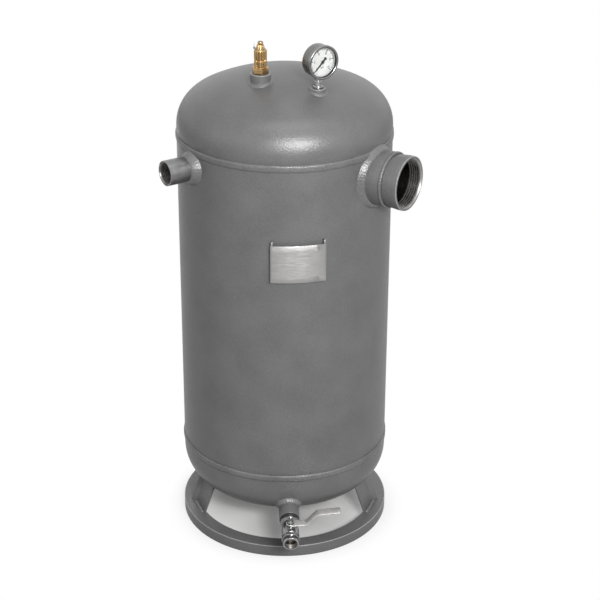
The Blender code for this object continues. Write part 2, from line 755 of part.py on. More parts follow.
# --- nameplate ------------------------------------------------------------------------------------------------------------
def curved_strip(radius, thickness, width, steps=12):
    """Outline of a plate bent round the tank's axis, centred on the front."""
    half = width / 2 / radius
    angles = [half * (2 * k / steps - 1) for k in range(steps + 1)]
    outer = [((radius + thickness) * sin(a), -(radius + thickness) * cos(a)) for a in angles]
    inner = [(radius * sin(a), -radius * cos(a)) for a in reversed(angles)]
    return outer, inner


def nameplate():
    frame = empty("nameplate_axis", tank, (0, 0, PLATE_Z), (0, 0, 1), -outward(PLATE_AZIMUTH))
    web = SHELL_R + BRACKET_STANDOFF - BRACKET_THICKNESS
    width = PLATE_WIDTH - 2 * BRACKET_MARGIN
    outer, inner = curved_strip(web, BRACKET_THICKNESS, width)
    first, last = inner[-1], inner[0]
    wall = BRACKET_THICKNESS
    foot = (SHELL_R - 2 * wall) / web
    flange_left = [(first[0] + wall, first[1]), ((first[0] + wall) * foot, first[1] * foot)]
    flange_left += [(outer[0][0] * foot, outer[0][1] * foot)]
    flange_right = [(outer[-1][0] * foot, outer[-1][1] * foot)]
    flange_right += [((last[0] - wall) * foot, last[1] * foot), (last[0] - wall, last[1])]
    outline = outer + flange_right + inner[1:-1] + flange_left
    height = PLATE_HEIGHT - 2 * BRACKET_MARGIN
    bracket = slab("nameplate_bracket", outline, -height / 2, height, PAINT, frame)
    cut(bracket, envelope)
    outer, inner = curved_strip(SHELL_R + BRACKET_STANDOFF + GAP, PLATE_THICKNESS, PLATE_WIDTH)
    slab("nameplate", outer + inner, -PLATE_HEIGHT / 2, PLATE_HEIGHT, STAINLESS, frame)


nameplate()


# --- safety valve -----------------------------------------------------------------------------------------------------------
def safety_valve(frame):
    chamber = VALVE_CHAMBER / 2
    body_r = VALVE_BODY_OD / 2
    thread_r = SAFETY_BOSS_BORE / 2 - GAP
    seat = VALVE_SEAT_HEIGHT
    section = [
        (body_r - GAP, VALVE_BODY_TOP),
        (body_r, VALVE_BODY_TOP - GAP),
        (body_r, VALVE_HEX_HEIGHT - MM),
        (thread_r, GAP),
        (thread_r, -VALVE_THREAD_LENGTH),
        (VALVE_INLET_BORE / 2, -VALVE_THREAD_LENGTH),
        (VALVE_INLET_BORE / 2, seat),
        (VALVE_INLET_BORE / 2 + MM, seat),
        (VALVE_INLET_BORE / 2 + 1.5 * MM, seat - MM),
        (chamber, seat - MM),
        (chamber, VALVE_BODY_TOP),
    ]
    body = turned("safety_valve_body", section, BRASS, frame)
    hexagon = prism("valve_hexagon", 6, VALVE_HEX, GAP, VALVE_HEX_HEIGHT, None, frame)
    hollow = rod("valve_hexagon_bore", thread_r - MM, -MM, VALVE_HEX_HEIGHT + MM, None, frame)
    cut(hexagon, hollow)
    join(body, hexagon)
    port_height = seat + VALVE_DISC_THICKNESS + VALVE_PORT
    for k in range(VALVE_PORTS // 2):
        direction = outward(360 / VALVE_PORTS * (k + 0.5))
        port_frame = empty(f"valve_port_{k}", frame, (0, 0, port_height), direction, (0, 0, 1))
        cut(body, rod(f"valve_port_cutter_{k}", VALVE_PORT / 2, -VALVE_BODY_OD, VALVE_BODY_OD, None, port_frame, 8))

    disc_top = seat + GAP + VALVE_DISC_THICKNESS
    spindle_r = VALVE_SPINDLE / 2
    rod("safety_valve_disc", VALVE_DISC_OD / 2, seat + GAP, disc_top, BRASS, frame, SMALL_STEPS)
    bonnet_low = VALVE_BODY_TOP - VALVE_BONNET_ENGAGEMENT
    button_low = bonnet_low - GAP - VALVE_BUTTON_THICKNESS
    button_r = chamber - 2 * GAP
    spindle_hole = spindle_r + GAP
    ring(
        "safety_valve_spring_button",
        button_r,
        spindle_hole,
        button_low,
        bonnet_low - GAP,
        BRASS,
        frame,
        SMALL_STEPS,
    )
    neck_top = VALVE_BODY_TOP + VALVE_NECK_HEIGHT
    neck_r = VALVE_NECK_OD / 2
    bonnet = [
        (neck_r - 1.5 * MM, neck_top),
        (neck_r, neck_top - 2 * MM),
        (neck_r, VALVE_BODY_TOP + GAP),
        (chamber - GAP, VALVE_BODY_TOP - GAP),
        (chamber - GAP, bonnet_low),
        (spindle_hole, bonnet_low),
        (spindle_hole, neck_top),
    ]
    turned("safety_valve_bonnet", bonnet, BRASS, frame, SMALL_STEPS)
    cap_low = neck_top + 2 * GAP
    cap_top = cap_low + VALVE_CAP_HEIGHT
    cap_r = VALVE_CAP_OD / 2
    rod("safety_valve_spindle", spindle_r, disc_top + GAP, cap_low - GAP, BRASS, frame, SMALL_STEPS)
    cap = [
        (0, cap_top),
        (0.6 * cap_r, cap_top),
        (cap_r, cap_top - 1.2 * MM),
        (cap_r, cap_low),
        (0, cap_low),
    ]
    turned("safety_valve_cap", cap, BRASS, frame, SMALL_STEPS)

    coil_low = disc_top + GAP + SPRING_WIRE / 2
    coil_high = button_low - GAP - SPRING_WIRE / 2
    count = round(SPRING_TURNS * SPRING_POINTS_PER_TURN)
    coil = []
    for k in range(count + 1):
        turn = 2 * pi * k / SPRING_POINTS_PER_TURN
        height = coil_low + (coil_high - coil_low) * k / count
        coil.append((SPRING_MEAN_OD / 2 * cos(turn), SPRING_MEAN_OD / 2 * sin(turn), height))
    wire("safety_valve_spring", coil, SPRING_WIRE, SPRING_STEEL, frame)

    # The seal wire runs round the neck and stands up as a loop at the side, with the lead seal pressed on it.
    wire_r = neck_r + GAP + SEAL_WIRE / 2
    wire_z = VALVE_BODY_TOP + GAP + SEAL_WIRE
    strand = SEAL_OD / 4 + GAP + SEAL_WIRE / 2
    opening = atan2(strand, wire_r)
    around = [opening + (2 * pi - 2 * opening) * k / 16 for k in range(17)]
    route = [(-wire_r * cos(a), wire_r * sin(a), wire_z) for a in around]
    side = -wire_r - SEAL_OD / 2
    top = wire_z + SEAL_LOOP_HEIGHT
    route += [(side, -strand, wire_z + MM), (side - MM, -1.6 * strand, wire_z + SEAL_LOOP_HEIGHT / 2)]
    route += [(side, -strand, top - MM), (side, 0, top), (side, strand, top - MM)]
    route += [(side - MM, 1.6 * strand, wire_z + SEAL_LOOP_HEIGHT / 2), (side, strand, wire_z + MM)]
    wire("seal_wire", route, SEAL_WIRE, SPRING_STEEL, frame, closed=True)
    seal_frame = empty("seal_axis", frame, (side, 0, wire_z + SEAL_OD / 2), (0, 1, 0), (0, 0, 1))
    seal_half = strand - SEAL_WIRE / 2 - GAP
    rod("lead_seal", SEAL_OD / 2, -seal_half, seal_half, LEAD, seal_frame, 16)


safety_valve(safety_frame)


# --- pressure gauge -----------------------------------------------------------------------------------------------------------
def gear_teeth(teeth_on_circle, first, last, tooth_at):
    """Outline of the teeth centred on tooth_at + n pitches, between two angles in degrees, round a gear's centre."""
    pitch = 360 / teeth_on_circle
    radius = GEAR_MODULE * teeth_on_circle / 2
    tip, root = radius + 0.6 * GEAR_MODULE, radius - 1.1 * GEAR_MODULE
    points = []
    number = round((first - tooth_at) / pitch)
    while tooth_at + number * pitch <= last + 1e-6:
        centre = tooth_at + number * pitch
        for share, reach in ((-0.3, root), (-0.1, tip), (0.1, tip), (0.3, root)):
            angle = radians(centre + share * pitch)
            points.append((reach * cos(angle), reach * sin(angle)))
        number += 1
    return points


def gauge(frame):
    adapter_r = ADAPTER_OD / 2
    thread_r = GAUGE_BOSS_BORE / 2 - GAP
    bore_r = STEM_OD / 2 + GAP
    rim = 0.6 * MM
    adapter = [
        (adapter_r - rim, ADAPTER_HEIGHT),
        (adapter_r, ADAPTER_HEIGHT - rim),
        (adapter_r, GAP),
        (thread_r, GAP),
        (thread_r, -ADAPTER_THREAD_LENGTH),
        (ADAPTER_BORE / 2, -ADAPTER_THREAD_LENGTH),
        (ADAPTER_BORE / 2, ADAPTER_HEIGHT - STEM_ENGAGEMENT),
        (bore_r, ADAPTER_HEIGHT - STEM_ENGAGEMENT),
        (bore_r, ADAPTER_HEIGHT),
    ]
    turned("gauge_adapter", adapter, BARE, frame, SMALL_STEPS)

    facing = outward(GAUGE_FACING)
    stand = empty("gauge_stand", frame, (0, 0, 0), (0, 0, 1), -facing)
    face = empty("gauge_face", frame, (0, 0, CASE_CENTRE_HEIGHT), facing, (0, 0, 1))
    stem_low = ADAPTER_HEIGHT - STEM_ENGAGEMENT + GAP
    case_bottom = CASE_CENTRE_HEIGHT - CASE_OD / 2
    block_top = CASE_CENTRE_HEIGHT - BLOCK_TOP
    block_low = case_bottom + 3 * MM
    stem_top = block_low + MM
    stem = ring("gauge_stem", STEM_OD / 2, STEM_BORE / 2, stem_low, stem_top, STAINLESS, stand, SMALL_STEPS)
    block = box(
        "gauge_block",
        (BLOCK_WIDTH, 2 * (CASE_BACK - CASE_WALL - 2 * GAP), block_top - block_low),
        (0, 0, (block_top + block_low) / 2),
        None,
        stand,
    )
    passage = rod("gauge_passage", STEM_BORE / 2, stem_low, block_top - 2 * MM, None, stand, SMALL_STEPS)
    cut(block, passage)
    post_high = MOVEMENT_PLATE_BACK - GAP
    post = rod("gauge_post", 2.4 * MM, 0, post_high, None, face, 12, (0, -BLOCK_TOP - 4 * MM, 0))
    join(stem, block, post)

    case_r = CASE_OD / 2
    inside = case_r - CASE_WALL
    case = [
        (0, CASE_WALL - CASE_BACK),
        (inside, CASE_WALL - CASE_BACK),
        (inside, CASE_FRONT),
        (case_r, CASE_FRONT),
        (case_r, MM - CASE_BACK),
        (case_r - MM, -CASE_BACK),
        (0, -CASE_BACK),
    ]
    shell_case = turned("gauge_case", case, STAINLESS, face)
    hole_top = stem_top + GAP
    stem_hole = rod("gauge_stem_hole", STEM_OD / 2 + GAP, stem_low, hole_top, None, stand, SMALL_STEPS)
    cut(shell_case, stem_hole)

    bezel_r = BEZEL_OD / 2
    lip_back = BEZEL_FRONT - BEZEL_LIP
    bezel = [
        (bezel_r - 2.2 * MM, BEZEL_FRONT),
        (bezel_r - 0.7 * MM, BEZEL_FRONT - 0.7 * MM),
        (bezel_r, BEZEL_FRONT - 2.2 * MM),
        (bezel_r, CASE_FRONT - 2 * MM),
        (case_r + GAP, CASE_FRONT - 2 * MM),
        (case_r + GAP, lip_back),
        (BEZEL_OPENING / 2, lip_back),
        (BEZEL_OPENING / 2 + MM, BEZEL_FRONT - 0.6 * MM),
    ]
    turned("gauge_bezel", bezel, STAINLESS, face, 32)
    window_front = lip_back - GAP
    rod("gauge_window", case_r - GAP, window_front - WINDOW_THICKNESS, window_front, GLASS, face)
    dial_back = DIAL_FRONT - DIAL_THICKNESS
    arbor_r = ARBOR / 2
    ring("gauge_dial", DIAL_OD / 2, 2 * arbor_r, dial_back, DIAL_FRONT, WHITE, face)

    hub = 2.4 * MM
    needle = [
        (POINTER_LENGTH, 0),
        (POINTER_LENGTH - 2 * MM, 0.45 * MM),
        (hub, 0.75 * MM),
    ]
    blob = [
        (-POINTER_TAIL + 1.6 * MM * (1 - cos(a)), 1.6 * MM * sin(a)) for a in (0.45, 1.1, pi / 2, 2.3)
    ]
    half_outline = needle + [(hub * cos(a), hub * sin(a)) for a in (0.6, 1.2, 1.9, 2.5)]
    half_outline += [(-hub, 0.5 * MM)] + list(reversed(blob))
    outline = half_outline + [(x, -y) for x, y in reversed(half_outline[1:])]
    pointer = slab(
        "gauge_pointer", outline, POINTER_BACK, POINTER_THICKNESS, BLACK, face, turn=POINTER_ZERO
    )
    cut(pointer, rod("pointer_bore", arbor_r + GAP, 0, BEZEL_FRONT, None, face, 16))

    pivot = GEAR_MODULE * (PINION_TEETH + SECTOR_TEETH) / 2
    pinion_outline = gear_teeth(PINION_TEETH, 0, 359, 180 / PINION_TEETH)
    pinion = slab("gauge_pinion", pinion_outline, GEAR_BACK, GEAR_THICKNESS, BRASS, face)
    arbor_end = POINTER_BACK + POINTER_THICKNESS
    join(pinion, rod("gauge_arbor", arbor_r, GEAR_BACK - 0.5 * MM, arbor_end, None, face, 16))

    pitch = 360 / SECTOR_TEETH
    teeth = gear_teeth(SECTOR_TEETH, -SECTOR_SWEEP - 1.2 * pitch, 1.2 * pitch, 0)
    tail = radians(SECTOR_TAIL_ANGLE)
    tail_tip = Vector((cos(tail), sin(tail))) * SECTOR_TAIL
    across = Vector((-sin(tail), cos(tail))) * 1.2 * MM
    hub_arc = [(2.4 * MM * cos(a), 2.4 * MM * sin(a)) for a in (1.2, 2.2, 3.1)]
    sector_outline = teeth + hub_arc + [tuple(tail_tip - across), tuple(tail_tip + across)]
    sector_place = (-pivot, 0, 0)
    sector = slab(
        "gauge_sector", sector_outline, GEAR_BACK, GEAR_THICKNESS, BRASS, face, sector_place
    )
    plate_front = MOVEMENT_PLATE_BACK + MOVEMENT_PLATE_THICKNESS
    shaft = rod("sector_shaft", MM, GEAR_BACK - 0.5 * MM, plate_front + GAP, None, face, 16, sector_place)
    join(sector, shaft)

    half = 5 * MM
    foot = BLOCK_TOP + 7 * MM
    plate_outline = [
        (-pivot - half, -half),
        (-half, -half),
        (-half, -foot),
        (half, -foot),
        (half, half),
        (-pivot - half, half),
    ]
    plate = slab(
        "gauge_movement_plate",
        plate_outline,
        MOVEMENT_PLATE_BACK,
        MOVEMENT_PLATE_THICKNESS,
        BRASS,
        face,
    )
    arbor_hole = rod("arbor_hole", arbor_r + GAP, 0, BEZEL_FRONT, None, face, 16)
    shaft_hole = rod("sector_shaft_hole", MM + GAP, 0, BEZEL_FRONT, None, face, 16, sector_place)
    cut(plate, arbor_hole, shaft_hole)

    count = 22
    sweep = [BOURDON_START + (BOURDON_END - BOURDON_START) * k / count for k in range(count + 1)]
    route = [(BOURDON_RADIUS * cos(radians(a)), BOURDON_RADIUS * sin(radians(a)), 0) for a in sweep]
    root = (BLOCK_WIDTH / 2 + GAP + MM, -BLOCK_TOP - BOURDON_TUBE_OD, 0)
    wire("gauge_bourdon_tube", [root] + route, BOURDON_TUBE_OD, BRASS, face)

    tip_pin = Vector(route[-1][:2])
    tail_pin = Vector(sector_place[:2]) + tail_tip * 0.85
    direction = (tail_pin - tip_pin).normalized()
    side = Vector((-direction.y, direction.x)) * MM
    link_outline = [
        tuple(tip_pin - direction * MM - side),
        tuple(tail_pin + direction * MM - side),
        tuple(tail_pin + direction * MM + side),
        tuple(tip_pin - direction * MM + side),
    ]
    link_back = GEAR_BACK + GEAR_THICKNESS + GAP
    link_thickness = MOVEMENT_PLATE_BACK - GAP - link_back
    link = slab("gauge_link", link_outline, link_back, link_thickness, BRASS, face)
    pin_low = BOURDON_TUBE_OD / 2 + GAP
    join(link, rod("link_pin", 0.8 * MM, pin_low, link_back + GAP, None, face, 12, (*tip_pin, 0)))


gauge(gauge_frame)


# --- drain ball valve ------------------------------------------------------------------------------------------------------------
def seat_section(near, far):
    """A seat ring's section: near is its face towards the ball's centre, far its back, measured from the ball."""
    outer = BALL_OD / 2 + GAP / 2
    bore = FLOW_BORE / 2
    clear = BALL_OD / 2 + GAP
    rim = sqrt(clear**2 - near**2)
    bore_height = sqrt(clear**2 - bore**2)
    return outer, bore, rim, bore_height, far


def ball_valve(frame):
    shank_r = DRAIN_SOCKET_BORE / 2 - GAP
    bore_r = FLOW_BORE / 2
    ball_r = BALL_OD / 2
    chamber_r = ball_r + GAP
    collar_r = COLLAR_OD / 2
    collar_low = GASKET_THICKNESS + 2 * GAP
    collar_high = collar_low + COLLAR_LENGTH
    ring(
        "drain_gasket",
        DRAIN_SOCKET_OD / 2 - 0.4 * MM,
        shank_r + GAP,
        GAP,
        GAP + GASKET_THICKNESS,
        RUBBER,
        frame,
    )
    seat_near = sqrt((ball_r + GAP) ** 2 - (chamber_r - MM) ** 2)
    seat_far = sqrt((ball_r + GAP) ** 2 - bore_r**2) + SEAT_DEPTH - 2 * MM
    chamber_low = BALL_CENTRE - seat_far - GAP
    waist_r = DRAIN_WAIST_OD / 2
    body_r = DRAIN_BODY_OD / 2
    body_section = [
        (body_r, DRAIN_BODY_END),
        (body_r, BALL_CENTRE - 0.25 * BALL_OD),
        (waist_r, chamber_low - 1.5 * MM),
        (waist_r, collar_high),
        (collar_r, collar_high - MM),
        (collar_r, collar_low),
        (shank_r, collar_low),
        (shank_r, -VALVE_SHANK),
        (bore_r, -VALVE_SHANK),
        (bore_r, chamber_low),
        (chamber_r, chamber_low),
        (chamber_r, DRAIN_BODY_END),
    ]
    body = turned("drain_valve_body", body_section, CHROME, frame)
    up = empty("drain_stem_axis", frame, (0, 0, BALL_CENTRE), (0, 1, 0), (0, 0, -1))
    stem_boss = rod("stem_boss", STEM_BOSS_OD / 2, ball_r - MM, STEM_BOSS_HEIGHT, None, up)
    boss_hollow = rod("stem_boss_hollow", chamber_r, BALL_CENTRE - ball_r, BALL_CENTRE + ball_r, None, frame)
    cut(stem_boss, boss_hollow)
    join(body, stem_boss)
    stem_r = DRAIN_STEM_OD / 2
    stem_hole = rod("drain_stem_hole", stem_r + GAP, 0, 2 * STEM_BOSS_HEIGHT, None, up, SMALL_STEPS)
    packing_low = STEM_BOSS_HEIGHT - PACKING_THICKNESS - GAP
    packing_r = STEM_BOSS_OD / 2 - 2 * MM
    pocket = rod("packing_pocket", packing_r + GAP, packing_low - GAP, 2 * STEM_BOSS_HEIGHT, None, up)
    cut(body, stem_hole, pocket)

    end_low = DRAIN_BODY_END + GAP
    spigot_low = BALL_CENTRE + seat_far + GAP
    spigot_r = chamber_r - GAP
    mouth_r = MOUTH_BORE / 2
    end_section = [
        (END_OD / 2 - 0.8 * MM, DRAIN_LENGTH),
        (END_OD / 2, DRAIN_LENGTH - 0.8 * MM),
        (END_OD / 2, DRAIN_LENGTH - 5 * MM),
        (END_WAIST_OD / 2, DRAIN_LENGTH - 7 * MM),
        (END_WAIST_OD / 2, end_low),
        (spigot_r, end_low),
        (spigot_r, spigot_low),
        (bore_r, spigot_low),
        (bore_r, DRAIN_LENGTH - MOUTH_DEPTH - 3 * MM),
        (mouth_r, DRAIN_LENGTH - MOUTH_DEPTH),
        (mouth_r, DRAIN_LENGTH - MM),
        (mouth_r + MM, DRAIN_LENGTH),
    ]
    end = turned("drain_valve_end", end_section, CHROME, frame)
    hexagon = prism("end_hexagon", 6, END_HEX, end_low, end_low + END_HEX_LENGTH, None, frame, 30)
    inside_hex = rod("end_hexagon_bore", END_WAIST_OD / 2 - MM, 0, DRAIN_LENGTH, None, frame)
    cut(hexagon, inside_hex)
    join(end, hexagon)

    # Each seat is a ring whose face is hollowed to the ball, on either side of it.
    for side, sign in (("inner", -1), ("outer", 1)):
        hollow = [(bore_r, sqrt((ball_r + GAP) ** 2 - bore_r**2)), (chamber_r - MM, seat_near)]
        section = [(chamber_r - GAP, seat_far), (chamber_r - GAP, seat_near), hollow[1]]
        middle = (bore_r + chamber_r - MM) / 2
        section += [(middle, sqrt((ball_r + GAP) ** 2 - middle**2)), hollow[0], (bore_r, seat_far)]
        seat_frame = empty(f"seat_{side}_axis", frame, (0, 0, BALL_CENTRE), (0, 0, sign), (0, 1, 0))
        turned(f"drain_seat_{side}", section, PLASTIC, seat_frame)

    bands = [pi * k / 10 for k in range(1, 10)]
    profile = [(0, ball_r)] + [(ball_r * sin(a), ball_r * cos(a)) for a in bands] + [(0, -ball_r)]
    ball = turned("drain_ball", profile, CHROME, up)
    # The lever is drawn closed, so the ball's bore lies square to the flow.
    across = empty("ball_bore_axis", frame, (0, 0, BALL_CENTRE), (1, 0, 0), (0, 1, 0))
    bore = rod("ball_bore", bore_r, -BALL_OD, BALL_OD, None, across)
    slot = box(
        "ball_slot",
        (BALL_SLOT_WIDTH, BALL_OD, 2 * BALL_SLOT_DEPTH),
        (0, 0, ball_r),
        None,
        up,
    )
    cut(ball, bore, slot)

    lever_low = STEM_BOSS_HEIGHT + GLAND_THICKNESS + 2 * GAP
    nut_low = lever_low + LEVER_THICKNESS + GAP
    nut_high = nut_low + LEVER_NUT_HEIGHT
    stem_low = ball_r - BALL_SLOT_DEPTH + GAP
    stem = rod("drain_stem", stem_r, ball_r + GAP, nut_high + STEM_TIP, CHROME, up, SMALL_STEPS)
    tang = box(
        "stem_tang",
        (BALL_SLOT_WIDTH - 2 * GAP, 1.6 * stem_r, ball_r + MM - stem_low),
        (0, 0, (ball_r + MM + stem_low) / 2),
        None,
        up,
    )
    join(stem, tang)
    ring(
        "drain_packing",
        packing_r,
        stem_r + GAP,
        packing_low,
        packing_low + PACKING_THICKNESS,
        PLASTIC,
        up,
        SMALL_STEPS,
    )
    ring(
        "drain_gland",
        GLAND_OD / 2,
        stem_r + GAP,
        STEM_BOSS_HEIGHT + GAP,
        STEM_BOSS_HEIGHT + GAP + GLAND_THICKNESS,
        CHROME,
        up,
        SMALL_STEPS,
    )
    nut = prism("drain_lever_nut", 6, LEVER_NUT, nut_low, nut_high, CHROME, up)
    cut(nut, rod("nut_bore", stem_r + GAP, 0, 2 * nut_high, None, up, SMALL_STEPS))

    # Side view of the cranked strap, drawn in its own plane and extruded to its width.
    strap_frame = empty("lever_axis", frame, (0, 0, BALL_CENTRE), (0, 0, 1), (0, 1, 0))
    thick = LEVER_THICKNESS
    run_in, run_out = LEVER_FLAT, LEVER_FLAT + LEVER_RAMP
    slope = atan2(LEVER_CRANK, LEVER_RAMP)
    shift = thick * tan(slope / 2)
    hub = LEVER_WIDTH / 2
    handle = lever_low + LEVER_CRANK
    end_height = handle + (LEVER_LENGTH - run_out) * tan(radians(LEVER_RISE))
    strap = [
        (-hub, lever_low),
        (run_in + shift, lever_low),
        (run_out + shift, handle),
        (LEVER_LENGTH, end_height),
        (LEVER_LENGTH, end_height + thick),
        (run_out, handle + thick),
        (run_in, lever_low + thick),
        (-hub, lever_low + thick),
    ]
    lever = slab("drain_lever", strap, -LEVER_WIDTH / 2, LEVER_WIDTH, CHROME, strap_frame)
    cut(lever, rod("lever_hole", stem_r + GAP, 0, 2 * nut_high, None, up, SMALL_STEPS))


ball_valve(drain_frame)
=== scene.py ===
# %% [markdown]
# # An upright compressed-air receiver
# The tank is a rolled and welded steel shell with a pressed head at each end. It stands on a ring of rolled angle
# iron, and carries two pipe sockets, a safety valve, a pressure gauge and a drain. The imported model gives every
# piece its place and size, and this lesson gives each one its finished shape and surface.

import json
from math import atan2, cos, hypot, pi, radians, sin, sqrt, tan

import bmesh
import bpy
from mathutils import Matrix, Vector
from mathutils.bvhtree import BVHTree


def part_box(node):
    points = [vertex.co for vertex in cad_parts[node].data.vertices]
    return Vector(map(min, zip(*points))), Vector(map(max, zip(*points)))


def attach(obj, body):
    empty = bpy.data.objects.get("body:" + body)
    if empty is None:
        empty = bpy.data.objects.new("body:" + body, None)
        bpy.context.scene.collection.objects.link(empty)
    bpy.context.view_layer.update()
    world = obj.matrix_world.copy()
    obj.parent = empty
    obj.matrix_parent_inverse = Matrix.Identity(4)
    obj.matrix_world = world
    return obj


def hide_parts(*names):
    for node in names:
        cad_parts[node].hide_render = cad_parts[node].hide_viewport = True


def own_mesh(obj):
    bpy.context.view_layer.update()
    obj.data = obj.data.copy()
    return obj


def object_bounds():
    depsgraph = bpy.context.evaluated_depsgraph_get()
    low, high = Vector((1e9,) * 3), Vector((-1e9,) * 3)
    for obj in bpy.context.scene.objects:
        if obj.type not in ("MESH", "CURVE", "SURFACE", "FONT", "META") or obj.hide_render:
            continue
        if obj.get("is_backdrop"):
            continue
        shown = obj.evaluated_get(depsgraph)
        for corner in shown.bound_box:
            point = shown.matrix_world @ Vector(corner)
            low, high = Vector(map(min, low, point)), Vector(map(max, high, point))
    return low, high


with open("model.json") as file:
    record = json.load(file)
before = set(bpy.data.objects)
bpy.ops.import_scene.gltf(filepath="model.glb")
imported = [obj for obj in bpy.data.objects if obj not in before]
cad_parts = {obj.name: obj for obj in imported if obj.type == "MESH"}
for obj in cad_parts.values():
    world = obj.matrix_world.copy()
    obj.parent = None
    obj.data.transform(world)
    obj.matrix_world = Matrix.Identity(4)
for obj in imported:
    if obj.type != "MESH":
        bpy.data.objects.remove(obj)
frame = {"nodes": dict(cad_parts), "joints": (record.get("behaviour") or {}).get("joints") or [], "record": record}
cad_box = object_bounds()
mounts = {mount["name"]: mount for mount in frame["record"]["mounts"]}
joints = {joint["name"]: joint for joint in frame["joints"]}

# %% [markdown]
# ## Where things are
# The shell's own box gives the tank's axis, its radius and the heights of the two seams. A mount or a joint gives
# the line that each fitting is built on, so each fitting is modelled upright round its own Z and then put in place.

# %% Axes and heights
MM = 0.001
UP = Vector((0, 0, 1))
BACK = Vector((0, 1, 0))


def place(origin, z_axis, y_axis=UP):
    """The matrix that stands a piece on origin with its Z along z_axis and its Y leaning to y_axis."""
    z = Vector(z_axis).normalized()
    x = Vector(y_axis).cross(z).normalized()
    return Matrix.Translation(origin) @ Matrix((x, z.cross(x), z)).transposed().to_4x4()


shell_low, shell_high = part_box("shell")
shell_r = (shell_high.x - shell_low.x) / 2
axis_foot = Vector((shell_low.x + shell_r, shell_low.y + shell_r, 0))
seam_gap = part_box("top_head")[0].z - shell_high.z
top_seam_z = shell_high.z + seam_gap / 2
bottom_seam_z = shell_low.z - seam_gap / 2
tank = place(axis_foot, UP, BACK)
print("shell radius", round(shell_r / MM, 1), "mm, seams at", round(bottom_seam_z, 4), round(top_seam_z, 4))


def outward(azimuth):
    """Level direction away from the tank, in degrees from its front towards +X."""
    return Vector((sin(radians(azimuth)), -cos(radians(azimuth)), 0))


# %% [markdown]
# ## Modelling tools
# Nearly everything here was turned on a lathe, rolled or pressed round an axis, so nearly everything is a
# half section spun round Z. Real edges are never sharp, and the thin highlight that runs along a broken edge is
# what makes a part look solid, so each section's corners are rounded before it is spun.

# %% Sections and spins
TOUCHING = 0.002 * MM
SHARP = radians(50)


def mm(points, base=0.0, radius=0.0):
    """Section points in metres, from millimetres counted out from radius and up from base."""
    return [(radius + x * MM, base + z * MM) for x, z in points]


def softened(outline, radius, closed=True, steps=3):
    """Rounds the corners of an outline of (radius, height) points."""
    points = [Vector(point) for point in outline]
    out = []
    for i, corner in enumerate(points):
        if not closed and i in (0, len(points) - 1):
            out.append(corner)
            continue
        before, after = points[i - 1], points[(i + 1) % len(points)]
        reach = min(radius, (before - corner).length / 2.1, (after - corner).length / 2.1)
        start = corner + (before - corner).normalized() * reach
        end = corner + (after - corner).normalized() * reach
        for k in range(steps + 1):
            t = k / steps
            out.append(start.lerp(corner, t).lerp(corner.lerp(end, t), t))
    return out


def turned(section, steps=96, closed=True):
    """Spins a half section round Z. A closed section is a ring's, and an open one runs from axis to axis."""
    bm = bmesh.new()
    verts = [bm.verts.new((point[0], 0, point[1])) for point in section]
    edges = [bm.edges.new(pair) for pair in zip(verts, verts[1:])]
    if closed:
        edges.append(bm.edges.new((verts[-1], verts[0])))
    bmesh.ops.spin(
        bm, geom=verts + edges, cent=(0, 0, 0), axis=(0, 0, 1), angle=2 * pi, steps=steps, use_merge=True
    )
    bmesh.ops.remove_doubles(bm, verts=bm.verts, dist=TOUCHING)
    bmesh.ops.recalc_face_normals(bm, faces=bm.faces)
    return bm


def lathe(section, edge, steps=96, closed=True, rounding=3):
    """A half section with its corners rounded by edge, spun round Z."""
    return turned(softened(section, edge, closed, rounding), steps, closed)


def tube(outer, inner, low, high, edge=0.4 * MM, steps=96):
    return lathe([(outer, high), (outer, low), (inner, low), (inner, high)], edge, steps)


def bar(radius, low, high, edge=0.4 * MM, steps=64):
    return lathe([(0, high), (radius, high), (radius, low), (0, low)], edge, steps, closed=False)


def broken(bm, edge, over=None, segments=2):
    """Breaks every edge, or only those at which two faces turn by more than the angle over."""
    rims = bm.edges if over is None else [e for e in bm.edges if e.calc_face_angle(0) > over]
    bmesh.ops.bevel(bm, geom=rims, offset=edge, segments=segments, profile=0.5, affect="EDGES", material=-1)
    return bm


def hex_bar(across_flats, low, high, edge, turn=0.0):
    bm = bmesh.new()
    radius = across_flats / 2 / cos(pi / 6)
    bmesh.ops.create_cone(bm, cap_ends=True, segments=6, radius1=radius, radius2=radius, depth=high - low)
    broken(bm, edge)
    bmesh.ops.rotate(bm, verts=bm.verts, cent=(0, 0, 0), matrix=Matrix.Rotation(radians(turn), 3, "Z"))
    bmesh.ops.translate(bm, verts=bm.verts, vec=(0, 0, (low + high) / 2))
    return bm


def block(size, edge=0.0):
    """A block centred on the origin, with its edges broken if edge is given."""
    bm = bmesh.new()
    bmesh.ops.create_cube(bm, size=1)
    bmesh.ops.scale(bm, verts=bm.verts, vec=size)
    return broken(bm, edge) if edge else bm


def verts_of(geom):
    return [g for g in geom if isinstance(g, bmesh.types.BMVert)]


def plate(outline, low, thickness, edge):
    """A flat plate of any outline, from height low upwards, with broken edges."""
    bm = bmesh.new()
    face = bm.faces.new([bm.verts.new((x, y, low)) for x, y in outline])
    grown = bmesh.ops.extrude_face_region(bm, geom=[face])["geom"]
    bmesh.ops.translate(bm, verts=verts_of(grown), vec=(0, 0, thickness))
    bmesh.ops.recalc_face_normals(bm, faces=bm.faces)
    return broken(bm, edge, radians(25))


def thickened(bm, towards, thickness):
    """Turns an open sheet to face towards a direction and gives it its thickness."""
    bmesh.ops.recalc_face_normals(bm, faces=bm.faces)
    if sum((f.normal for f in bm.faces), Vector()).dot(towards) < 0:
        bmesh.ops.reverse_faces(bm, faces=bm.faces)
    bmesh.ops.solidify(bm, geom=bm.faces, thickness=thickness)
    return bm


def polar(at):
    """Distance from the Z axis, and angle round it."""
    return hypot(at.x, at.y), atan2(at.y, at.x)


